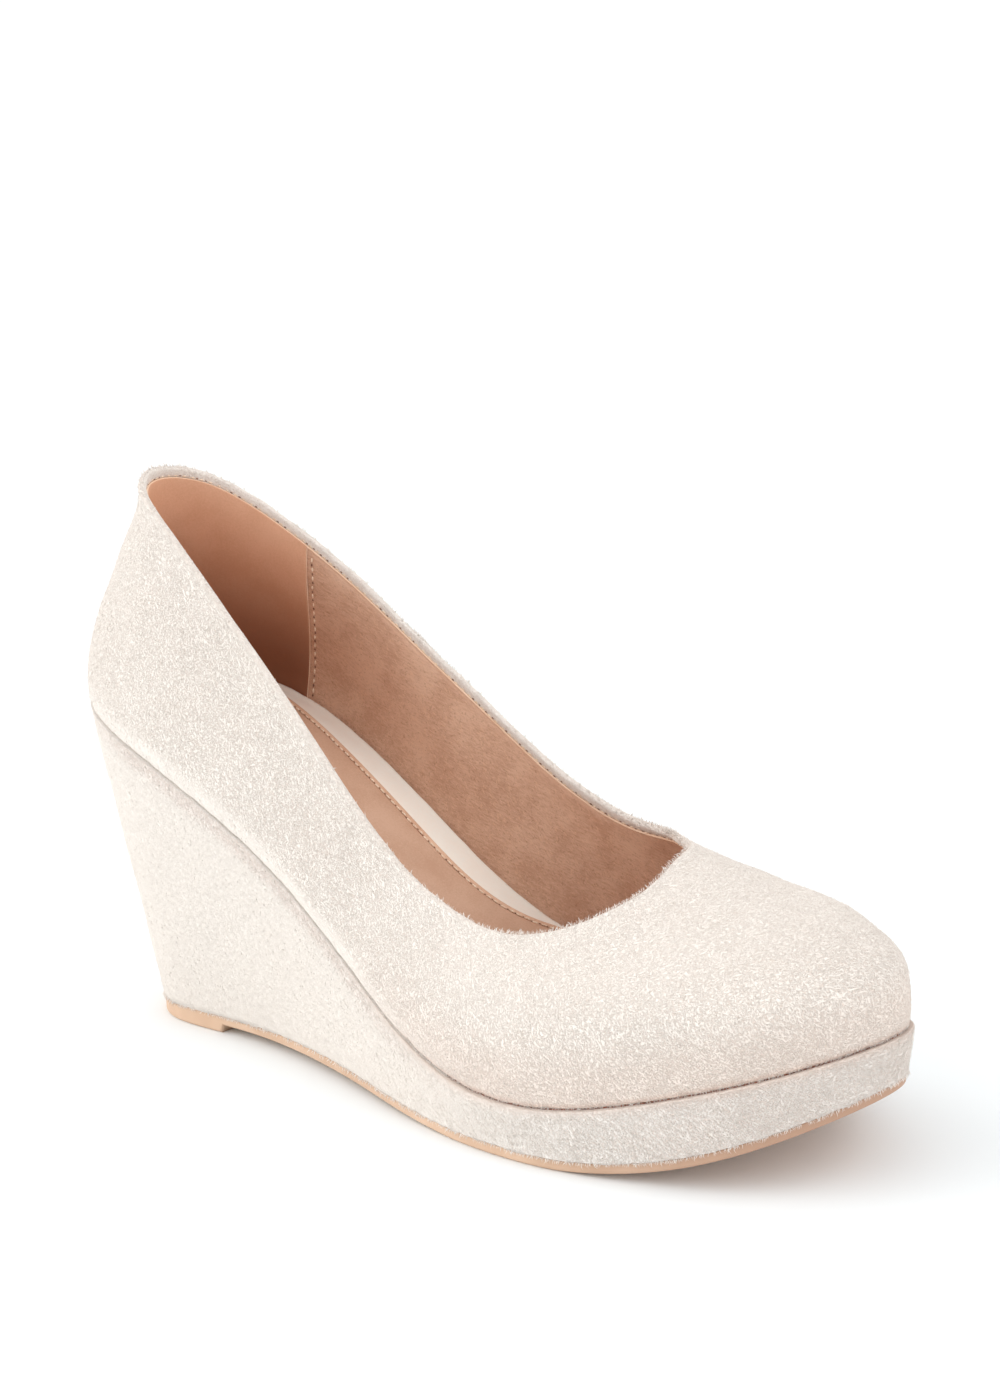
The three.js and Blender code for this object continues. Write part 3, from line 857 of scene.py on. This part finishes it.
def make_quarter_lining():
    turns = np.linspace(MEDIAL_SEAM, 1 + LATERAL_SEAM, 150)
    front = lining_grid(turns, UPPER_WALL + LINING_OVERLAP)
    back = lining_grid(turns, UPPER_WALL + 0.04)
    # Painted shade: the depth weight darkens the lining towards its bottom and towards the heel, where
    # shade falls in the heel cup
    inward = 1 - smooth_step(25, 70, shoe["feather_x"](turns))[None, :]
    down = smooth_step(0.1, 0.9, LINING_SHARES[:, None])
    depth = [down * (0.35 + 0.65 * inward)] * 2
    # The quarter's cut edges take the pale raw-edge colour: partly their own colour, partly a painted
    # highlight
    add_strip("quarter_lining", front, back, [quarter_lining, raw_edge], {"depth": depth})


def make_lining_edges():
    """The lining's raw edge under the turned-in suede, and the quarter's raw edges at both seams."""
    path = inner_face(even_turns(TOPLINE_POINTS), TURN_IN + 0.25, UPPER_WALL + 0.1)
    make_cord("lining_edge", path, 0.34, 6, raw_edge)
    # The quarter's edge rods are pale: partly the raw edge's own colour, partly a painted highlight along
    # these edges
    for name, edge in (("medial_quarter_edge", MEDIAL_SEAM), ("lateral_quarter_edge", LATERAL_SEAM)):
        heights = np.linspace(height_below_top(edge, TURN_IN + 0.3), 0.01, 60)
        _, out, along = wall_directions(edge, heights)
        path = inside_point(edge, heights, UPPER_WALL + 0.32)
        make_rod(name, path, out, along, 0.17, 6, raw_edge)


def lengths_along(line):
    """The distance from a line's start to each of its points."""
    return np.concatenate([[0], np.cumsum(np.linalg.norm(np.diff(line, axis=0), axis=1))])


def around_path(path, side, above, radius, sides, sense):
    """Copies of a path, set on a circle around it."""
    angles = [sense * 2 * math.pi * k / sides for k in range(sides)]
    return [path + radius * (side * math.cos(angle) + above * math.sin(angle)) for angle in angles]


def make_cord(name, path, radius, sides, material, waist=0.0, pitch=1.6, weights=None):
    """A closed ring of thread along a closed path, thinner at even steps when it has a waist."""
    along = unit(np.roll(path, -1, 0) - np.roll(path, 1, 0))
    side = unit(np.cross(along, [0, 0, 1]))
    narrow = 0.5 + 0.5 * np.cos(2 * math.pi * lengths_along(path) / pitch)
    size = (radius * (1 - waist * narrow))[:, None]
    loops = around_path(path, side, np.cross(side, along), size, sides, -1)
    rings = {weight: [values] * sides for weight, values in (weights or {}).items()}
    add_solid(name, loops, [material], None, rings, hollow=True)


def make_rod(name, path, side, above, radius, sides, material):
    """An open piece of cord with closed ends, from the two directions across it."""
    points = np.stack(around_path(path, side, above, radius, sides, 1), 1).reshape(-1, 3)
    count = len(path)
    faces = []
    for row in range(count - 1):
        low, high = row * sides, (row + 1) * sides
        for k in range(sides):
            after = (k + 1) % sides
            faces.append([low + k, low + after, high + after, high + k])
    faces.append(list(range(sides))[::-1])
    faces.append([(count - 1) * sides + k for k in range(sides)])
    add_piece(name, points, faces, [material])


# Stitches
STITCHES = {  # pitch, then length, width and height of a stitch and of a needle hole
    "topline": (2.4, (1.0, 0.4, 0.34), (0.8, 0.34, 0.3)),
    "lining seam": (2.6, (1.25, 0.56, 0.48), (0.75, 0.55, 0.28)),
    "sock": (2.2, (1.7, 0.6, 0.5), (0.42, 0.34, 0.22)),
}


def bead(along, up, size, segments=6):
    """Points and faces of a small stretched bead with a length, a width and a height."""
    length, width, height = size
    ring_places = np.cos(np.linspace(math.pi, 0, 5))[1:-1]
    points = [[-length / 2, 0, 0]]
    for x in ring_places:
        radius = math.sqrt(1 - x * x)
        for k in range(segments):
            angle = 2 * math.pi * k / segments
            across = radius * width / 2 * math.cos(angle)
            above = radius * height / 2 * math.sin(angle)
            points.append([x * length / 2, across, above])
    points.append([length / 2, 0, 0])
    faces = []
    last = 1 + (len(ring_places) - 1) * segments
    for k in range(segments):
        after = (k + 1) % segments
        faces.append([0, 1 + after, 1 + k])
        for a in range(1, last, segments):
            b = a + segments
            faces.append([a + k, a + after, b + after, b + k])
        faces.append([last + k, last + after, last + segments])
    return np.array(points) @ np.array([along, np.cross(up, along), up]), faces


def resample(path, pitch, closed):
    """Evenly spaced points along a path, with the direction of the path there."""
    line = np.concatenate([path, path[:1]]) if closed else path
    length = lengths_along(line)
    count = int(length[-1] / pitch)
    at = np.linspace(0, length[-1], count + 1)[:-1] + (0 if closed else length[-1] / count / 2)

    def place(distance):
        return np.stack([np.interp(distance, length, line[:, axis]) for axis in range(3)], -1)

    aside = 0.2
    return place(at), unit(place(at + aside) - place(at - aside)), at / length[-1]


def make_stitches(name, path, normals, kind, seed, closed=True, shut=0.0):
    """A row of stitches with a dark bead between each two that paints the shade of a needle hole, apart
    from a share that the nap shuts.
    """
    pitch, stitch, hole = STITCHES[kind]
    rng = np.random.default_rng(seed)
    places, along, shares = resample(path, pitch, closed)
    at = np.linspace(0, 1, len(normals), endpoint=not closed)
    period = 1 if closed else None
    up_at = np.stack([np.interp(shares, at, normals[:, axis], period=period) for axis in range(3)], -1)
    points, faces, slots = [], [], []
    total = 0
    for place, ahead, up in zip(places, along, unit(up_at)):
        up = unit(up - ahead * (up @ ahead))
        wobble = rng.normal(0, 0.05, 3)
        kinds = [(stitch, 0.0, 0), (hole, pitch / 2, 1)]
        if rng.uniform() < shut:
            kinds.pop()
        for (length, width, height), shift, slot in kinds:
            shape, shape_faces = bead(ahead, up, (length * rng.uniform(0.88, 1.1), width, height))
            points.append(shape + place + ahead * shift + wobble)
            faces += [[total + corner for corner in face] for face in shape_faces]
            slots += [slot] * len(shape_faces)
            total += len(shape)
    add_piece(name, np.concatenate(points), faces, [pale_thread, needle_hole_shade], None, slots)


def make_topline_stitches():
    turn = even_turns(TOPLINE_POINTS)
    _, out, _ = wall_directions(turn, height_below_top(turn, TURN_IN - 0.25))
    path = inner_face(turn, TURN_IN - 0.35, UPPER_WALL + 0.02)
    make_stitches("topline_stitches", path, -out, "topline", 21, shut=0.45)


def make_lining_stitches():
    for name, edge, sign in (
        ("medial_seam_stitches", MEDIAL_SEAM, -1),
        ("lateral_seam_stitches", LATERAL_SEAM, 1),
    ):
        heights = np.linspace(0.94, 0.06, 60)
        _, out, along = wall_directions(edge, heights)
        path = inside_point(edge, heights, UPPER_WALL + 0.16) + along * (sign * SEAM_STITCH_GAP)
        make_stitches(name, path, -out, "lining seam", 22, closed=False)


# Insole board and sock
BOARD_INSETS = (22, 18, 15, 12.5, 10.5, 9, 7.7, 6.6, 5.6, 4.7, 3.9, 3.2, 2.5, 1.9, 1.3, 0.8, 0.4, 0.1)


def strip_width(turn):
    """How far the sock's edge lies inside the board's edge."""
    distances = [row[0] * LAST_LENGTH for row in SOCK_ROWS]
    lateral = spline(distances, [row[1] * BALL_WIDTH / 2 for row in SOCK_ROWS])
    medial = spline(distances, [row[2] * BALL_WIDTH / 2 for row in SOCK_ROWS])
    x = shoe["feather_x"](turn)
    return np.maximum(SOCK_MARGIN, np.where(turn < TIP, lateral(x), medial(x)))


def pleats(turn, x, inset):
    """Small pleats of the board's cover on the medial side, where the arch passes into the ball."""
    near = smooth_step(132, 142, x) * (1 - smooth_step(160, 172, x)) * (turn > TIP)
    pleat = np.sin(2 * math.pi * x / 2.1 + 1.3 * np.sin(x / 3.7))
    return 0.16 * near * pleat * math.exp(-inset / 6)


def make_board():
    turn = even_turns(BOARD_COLUMNS)
    top = SEAM_GAP + BOARD_THICKNESS
    loops = []
    for inset in BOARD_INSETS:
        raised_edge = 0.5 * math.exp(-((inset / 1.3) ** 2))
        loop = feather_loop(turn, -BOARD_INSET - inset, top + raised_edge)
        loop[:, 2] += pleats(turn, loop[:, 0], inset)
        loop[:, 2] += waves(loop, BOARD_RELIEF)
        loops.append(loop)
    for inset, lift in ((0, top - 0.3), (0, SEAM_GAP + 0.2), (0.3, SEAM_GAP)):
        loops.append(feather_loop(turn, -BOARD_INSET - inset, lift))
    add_solid("board_cover", loops, [board_skin], "insole_board")


def sock_row(turn, inset, lift):
    """A row of the sock, from the distance in from its edge and the height above its underside."""
    base = 2 * SEAM_GAP + BOARD_THICKNESS
    return feather_loop(turn, -BOARD_INSET - strip_width(turn) - inset, base + lift)


SOCK_SECTION = [  # distance in from the sock's edge, height above its underside
    [6.5, 2.15], [5, 2.12], [3.8, 2.04], [3, 1.92], [2.5, 1.76], [2.2, 1.58], [2.0, 1.45], [1.9, 1.42],
    [1.78, 1.45], [1.6, 1.58], [1.35, 1.72], [1.05, 1.8], [0.7, 1.78], [0.4, 1.66], [0.18, 1.46],
    [0.05, 1.2], [0, 0.9], [0, 0.35], [0.12, 0.08], [0.35, 0],
]


def make_sock():
    turn = even_turns(BOARD_COLUMNS)
    loops = [sock_row(turn, inset, lift) for inset, lift in SOCK_SECTION]
    for loop, (inset, _) in zip(loops, SOCK_SECTION):
        loop[:, 2] += waves(loop, SOCK_RELIEF) * min(1, inset / 3)
    pad = add_solid("sock_pad", loops, [sock_skin, rim_skin], "sock_lining")
    slots = np.zeros(len(pad.data.polygons), np.int32)
    for row, (inset, _) in enumerate(SOCK_SECTION[:-1]):
        slots[row * BOARD_COLUMNS : (row + 1) * BOARD_COLUMNS] = inset < SOCK_RIM
    pad.data.polygons.foreach_set("material_index", slots)
    path = sock_row(turn, SOCK_GROOVE, 1.68)
    normals = np.tile([0.0, 0.0, 1.0], (len(path), 1))
    make_stitches("sock_stitches", path, normals, "sock", 23)


# Wedge, seam and outsole
def wedge_wall(turn, share):
    """A point of the wedge's side: share 0 is under its rounded top edge and 1 is at the outsole."""
    edge = feather_loop(turn, shoe["proud"](turn), -COVER_ROUND)
    foot = foot_loop(turn, 0, SEAM_GAP)
    share = np.broadcast_to(share, turn.shape)[:, None]
    return edge * (1 - share) + foot * share


def below_seam(turn, point):
    """How far a point of the wedge lies under the feather line."""
    return bottom_height(shoe["feather_x"](turn)) - point[:, 2]


def wedge_face(turn, share):
    """The wedge's suede, with its soft unevenness and its dip under the lateral waist's lip."""
    point = wedge_wall(turn, share)
    relief = waves(point, WEDGE_RELIEF) * np.minimum(1, np.minimum(share, 1 - share) * 8)
    dip = WAIST_DIP * waist_side(turn) * np.exp(-((below_seam(turn, point) / WAIST_DIP_REACH) ** 2))
    return point + flat_step(outward(turn), relief - dip)


def wedge_weights(turn, point):
    """How rough the wedge's nap is, smooth and pale at the waist and rougher to the toe, and how much
    pinkish painted shade it takes.
    """
    below = below_seam(turn, point)
    # Painted shade in the valley under the lateral waist's lip: rougher nap with more dark pits, and the
    # pinkish colour
    valley = waist_side(turn) * (1 - smooth_step(2.5, 6.5, below))
    fore = smooth_step(125, 195, shoe["feather_x"](turn))
    toe = smooth_step(150, 215, shoe["feather_x"](turn))
    grain = 0.2 + 0.8 * np.maximum(fore, 0.9 * valley)
    # Pinkish painted shade just under the seam at the forefoot, and on the platform's toe front
    edge = 0.35 * forefoot(turn) * np.exp(-((below / 1.3) ** 2))
    return grain, np.clip(0.32 * valley + 0.25 * fore * toe + edge, 0, 1)


def make_wedge():
    turn = even_turns(WEDGE_COLUMNS)
    top_edge = shoe["proud"](turn) - WAIST_DIP * waist_side(turn)
    closed = WAIST_CLOSE * waist_side(turn)
    loops = [feather_loop(turn, -inset, closed) for inset in (6, 4.5, 3.4)]
    for angle in np.radians([88, 68, 48, 28, 10]):
        offset = top_edge - COVER_ROUND * (1 - math.cos(angle))
        lift = closed * math.sin(angle) - COVER_ROUND * (1 - math.sin(angle))
        loops.append(feather_loop(turn, offset, lift))
    for share in np.linspace(0, 1, 50)[:-1]:
        loops.append(wedge_face(turn, share))
    loops.append(lifted(foot_loop(turn, 0, 0.15), waves(wedge_wall(turn, 1.0), RAGGED_FOOT)))
    loops += [foot_loop(turn, inset, 0.02) for inset in (0.35, 2.5)]
    grain, painted_pink_shade = zip(*[wedge_weights(turn, loop) for loop in loops])
    weights = {"grain": grain, "painted_pink_shade": painted_pink_shade}
    add_solid("wedge_cover", loops, [wedge_suede], "wedge_platform", weights)


def make_seam_line():
    """A cord in the seam's groove: dark at the toe, where it paints the groove's shade, and as pale as the
    suede along the lateral waist.
    """
    turn = even_turns(SEAM_POINTS)
    inset = 0.3 + 0.2 * waist_side(turn)
    wander = waves(feather_loop(turn, 0, 0), SEAM_WANDER)
    path = feather_loop(turn, -inset + wander, 0.16)
    pale = {"pale": waist_side(turn)}
    make_cord("seam_line", path, 0.19, 6, seam_shade_cord, 0.35, 2.3, pale)


def turn_at(distance, start, end):
    """The turn at which the outsole's outline passes a distance from the heel, on one side."""
    low, high = start, end
    for _ in range(50):
        middle = (low + high) / 2
        if shoe["tread_x"](middle) < distance:
            low = middle
        else:
            high = middle
    return low


def outsole_turns():
    """Turns with columns on both edges of the heel pad's step."""

    def side(start, end):
        before = turn_at(HEEL_PAD_FRONT, start, end)
        after = turn_at(HEEL_PAD_FRONT + HEEL_PAD_SLOPE, start, end)
        heel = start + (before - start) * np.arange(HEEL_PAD_COLUMNS + 1) / HEEL_PAD_COLUMNS
        fore = after + (end - after) * np.arange(FORE_SOLE_COLUMNS) / FORE_SOLE_COLUMNS
        return np.concatenate([heel, fore])

    lateral = side(0, TIP)
    medial = side(1, TIP)[1:][::-1]
    return np.concatenate([lateral, [TIP], medial])


def make_outsole():
    turn = outsole_turns()
    low = tread_height(shoe["tread_x"](turn))
    loops = []
    for inset, lift in ((3, 0), (0.75, 0), (0.5, -0.05), (0.4, -0.2), (OUTSOLE_INSET, -0.5)):
        loops.append(foot_loop(turn, inset, lift))
    for angle in np.radians([0, 18, 36, 54, 72, 90]):
        inset = OUTSOLE_INSET + OUTSOLE_ROUND * (1 - math.cos(angle))
        loops.append(tread_loop(turn, inset, low + OUTSOLE_ROUND * (1 - math.sin(angle))))
    loops.append(tread_loop(turn, 4, low))
    # Painted shade: the depth weight darkens the outsole towards the toe, whose edge lies in shade
    depth = [smooth_step(150, 220, loop[:, 0]) for loop in loops]
    add_solid("outsole_sheet", loops, [tan_rubber], "outsole", {"depth": depth})


# Nap
FIBRES = {  # how many, their length and width, and a seed
    "upper_nap": (19500, 1.1, 0.04, 72),
    "wedge_nap": (17000, 1.1, 0.04, 73),
    "topline_tufts": (1900, 0.95, 0.045, 74),
    "platform_tufts": (2200, 0.95, 0.05, 75),
    "seam_nap": (3200, 0.75, 0.045, 76),
    "waist_nap": (3600, 0.95, 0.05, 77),
    "topline_curls": (420, 1.15, 0.1, 78),
    "platform_curls": (420, 1.2, 0.09, 79),
}
UP = np.array([0, 0, 1.0])


def add_fibres(name, roots, lean, out):
    """Short bent fibres, each a closed three-sided spike rooted in the surface."""
    _, length, width, seed = FIBRES[name]
    rng = np.random.default_rng(seed)
    count = len(roots)
    side = unit(np.cross(lean, out))
    length = (length * rng.uniform(0.55, 1.3, count))[:, None]
    width = (width * rng.uniform(0.7, 1.3, count))[:, None]
    middle = roots + (lean * 0.52 + out * rng.uniform(0.12, 0.3, (count, 1))) * length
    curl = side * rng.normal(0, 0.22, (count, 1))
    tip = roots + (lean * 0.95 + out * rng.uniform(-0.02, 0.36, (count, 1)) + curl) * length
    points = around_path(roots, side, out, width, 3, 1)
    points += around_path(middle, side, out, width * 0.8, 3, 1)
    points.append(tip)
    spike = []
    for k, after in ((0, 1), (1, 2), (2, 0)):
        spike += [[k, after, 3 + after], [k, 3 + after, 3 + k], [3 + k, 3 + after, 6]]
    spike.append([0, 2, 1])
    starts = len(points) * np.arange(count)[:, None, None]
    faces = (np.array(spike)[None] + starts).reshape(-1, 3).tolist()
    add_piece(name, np.stack(points, 1).reshape(-1, 3), faces, [suede_fibre])


def nap_lean(along, up, points, seed, spread):
    """The way each fibre lies: a slowly changing direction with some scatter, in radians."""
    rng = np.random.default_rng(seed)
    swirl = (0.9, 26, seed)
    angle = waves(points, swirl) + rng.normal(0, spread, len(points)) - 0.6
    return along * np.cos(angle)[:, None] + up * np.sin(angle)[:, None]


def scatter_upper(rng, count):
    """Random places on the upper's outer face, evenly by area."""
    turn = rng.uniform(0, 1, count * 3)
    height = rng.uniform(0, 1, count * 3)
    aside = 1e-3
    high = np.minimum(1, height + aside)
    low = np.maximum(0, height - aside)
    rise = np.linalg.norm(wall_point(turn, high) - wall_point(turn, low), axis=-1) / (high - low)
    across = wall_point(turn + aside, height) - wall_point(turn - aside, height)
    area = rise * np.linalg.norm(across, axis=-1)
    keep = rng.uniform(0, area.max(), count * 3) < area
    return turn[keep][:count], height[keep][:count]


def flat_directions(turn):
    """Level directions at the wedge's side: out of it and along it."""
    flat = flat_step(outward(turn), 1.0)
    return flat, unit(np.cross(UP, flat))


def upper_fibres(name, rng):
    turn, height = scatter_upper(rng, FIBRES[name][0])
    up, out, along = wall_directions(turn, height)
    roots = outer_face(turn, np.maximum(height, height_above_seam(turn, 0.6))) - out * 0.04
    add_fibres(name, roots, nap_lean(along, up, roots, 5, 0.45), out)


def wedge_fibres(name, rng):
    """Fibres on the wedge, more of them where its nap is rough. Those drawn too many are left out."""
    drawn = 24000
    turn = rng.uniform(0, 1, drawn)
    share = rng.uniform(0.01, 0.995, len(turn))
    rough = wedge_weights(turn, wedge_face(turn, share))[0]
    keep = rng.uniform(0, 1, len(turn)) < rough + 0.15
    turn = turn[keep][: FIBRES[name][0]]
    roots = wedge_face(turn, share[keep][: len(turn)])
    flat, along = flat_directions(turn)
    lean = nap_lean(along, np.tile(UP, (len(turn), 1)), roots, 8, 0.9)
    add_fibres(name, roots - flat * 0.04, lean, flat)


def topline_fibres(name, rng, angles, rise, outs):
    """Fibres that stand up around the rolled topline, leaning outwards by a random share."""
    count = FIBRES[name][0]
    turn = rng.uniform(0, 1, count)
    up, out, along = wall_directions(turn, 1)
    roots = topline_edge(turn, rng.uniform(*angles, count))
    aside = along * rng.normal(0, 0.5, (count, 1))
    lean = unit(up * rise + aside + out * rng.uniform(*outs, (count, 1)))
    add_fibres(name, roots, lean, out)


def seam_fibres(name, rng, end, distances, scatter, outs):
    """Fibres that hang from the upper's foot over its seam, up to a turn."""
    count = FIBRES[name][0]
    turn = rng.uniform(0, end, count)
    height = height_above_seam(turn, rng.uniform(*distances, count))
    up, out, along = wall_directions(turn, height)
    lean = unit(-up + out * outs + along * rng.normal(0, scatter, (count, 1)))
    add_fibres(name, outer_face(turn, height), lean, out)


def platform_fibres(name, rng, scatter, outs):
    """Fibres that hang from the wedge's foot over the outsole."""
    count = FIBRES[name][0]
    turn = rng.uniform(0, 1, count)
    flat, along = flat_directions(turn)
    lean = unit(-UP + along * rng.normal(0, scatter, (count, 1)) + flat * outs)
    add_fibres(name, foot_loop(turn, 0.1, 0.2), lean, flat)


def make_nap():
    rng = np.random.default_rng(71)
    upper_fibres("upper_nap", rng)
    wedge_fibres("wedge_nap", rng)
    topline_fibres("topline_tufts", rng, (5, 120), 0.8, (0, 0.8))
    platform_fibres("platform_tufts", rng, 0.6, 0.15)
    seam_fibres("seam_nap", rng, 1, (0.35, 0.8), 0.7, 0)
    seam_fibres("waist_nap", rng, WAIST_END, (0.32, 0.7), 0.8, 0.35)
    topline_fibres("topline_curls", rng, (20, 130), 1, (-0.3, 0.6))
    platform_fibres("platform_curls", rng, 0.7, 0.2)


make_upper()
make_vamp_lining()
make_quarter_lining()
make_lining_edges()
make_topline_stitches()
make_lining_stitches()
make_board()
make_sock()
make_wedge()
make_seam_line()
make_outsole()
make_nap()


# Floor, light and camera
FLOOR_REACH = 60.0  # from its middle to a side, in metres
SUN_SOFTNESS = 50  # the angle that a light fills, in degrees
SUN_COLOUR = (1.0, 0.99, 0.97)
SUNS = [  # name, direction towards it, strength
    ("key", (-0.8, -0.9, 0.5), 1.0),
    ("top", (-1.0, -0.3, 0.8), 0.56),
    ("fill", (0.8, 0.4, 0.8), 0.8),
]
CAMERA_PLACE = (0.3334, -0.4148, 0.2124)
CAMERA_AZIMUTH = 38.09
CAMERA_ELEVATION = 13.122
CAMERA_ROLL = -0.767
CAMERA_LENS = 60.0


def make_floor():
    shader = Shader("studio_floor", 0.9, Specular_IOR_Level=0.05)
    shader.colour(srgb(246, 250, 252))
    mesh = bpy.data.meshes.new("floor")
    corners = [(x * FLOOR_REACH, y * FLOOR_REACH, 0) for x, y in ((-1, -1), (1, -1), (1, 1), (-1, 1))]
    mesh.from_pydata(corners, [], [(0, 1, 2, 3)])
    mesh.materials.append(shader.material)
    add_object("floor", mesh)


def make_world():
    """A dome of white light that is brightest at the horizon."""
    world = bpy.data.worlds.new("studio")
    world.use_nodes = True
    nodes, links = world.node_tree.nodes, world.node_tree.links
    axes = nodes.new("ShaderNodeSeparateXYZ")
    fall = nodes.new("ShaderNodeMapRange")
    fall.interpolation_type = "SMOOTHSTEP"
    for name, value in (("From Min", 0.1), ("From Max", 0.3), ("To Min", 1.04), ("To Max", 0.86)):
        fall.inputs[name].default_value = value
    nodes["Background"].inputs["Color"].default_value = (1.0, 1.0, 1.0, 1)
    links.new(nodes.new("ShaderNodeTexCoord").outputs["Generated"], axes.inputs["Vector"])
    links.new(axes.outputs["Z"], fall.inputs["Value"])
    links.new(fall.outputs["Result"], nodes["Background"].inputs["Strength"])
    bpy.context.scene.world = world


def add_sun(name, towards, strength):
    """A distant soft light in a direction."""
    light = bpy.data.lights.new(name, "SUN")
    light.energy = strength
    light.angle = math.radians(SUN_SOFTNESS)
    light.color = SUN_COLOUR
    lamp = add_object(name, light)
    lamp.rotation_mode = "QUATERNION"
    lamp.rotation_quaternion = Vector(towards).to_track_quat("Z", "Y")


def make_camera():
    """A camera at its place, turned by its azimuth, elevation and roll in degrees."""
    data = bpy.data.cameras.new("camera")
    data.lens = CAMERA_LENS
    data.clip_start = 0.01
    data.clip_end = 200
    azimuth = Matrix.Rotation(math.radians(CAMERA_AZIMUTH), 4, "Z")
    tilt = Matrix.Rotation(math.radians(90 - CAMERA_ELEVATION), 4, "X")
    roll = Matrix.Rotation(math.radians(CAMERA_ROLL), 4, "Z")
    camera = add_object("camera", data)
    camera.matrix_world = Matrix.Translation(CAMERA_PLACE) @ azimuth @ tilt @ roll
    bpy.context.scene.camera = camera


make_floor()
make_world()
for sun in SUNS:
    add_sun(*sun)
make_camera()
bpy.context.scene.view_settings.view_transform = "Standard"
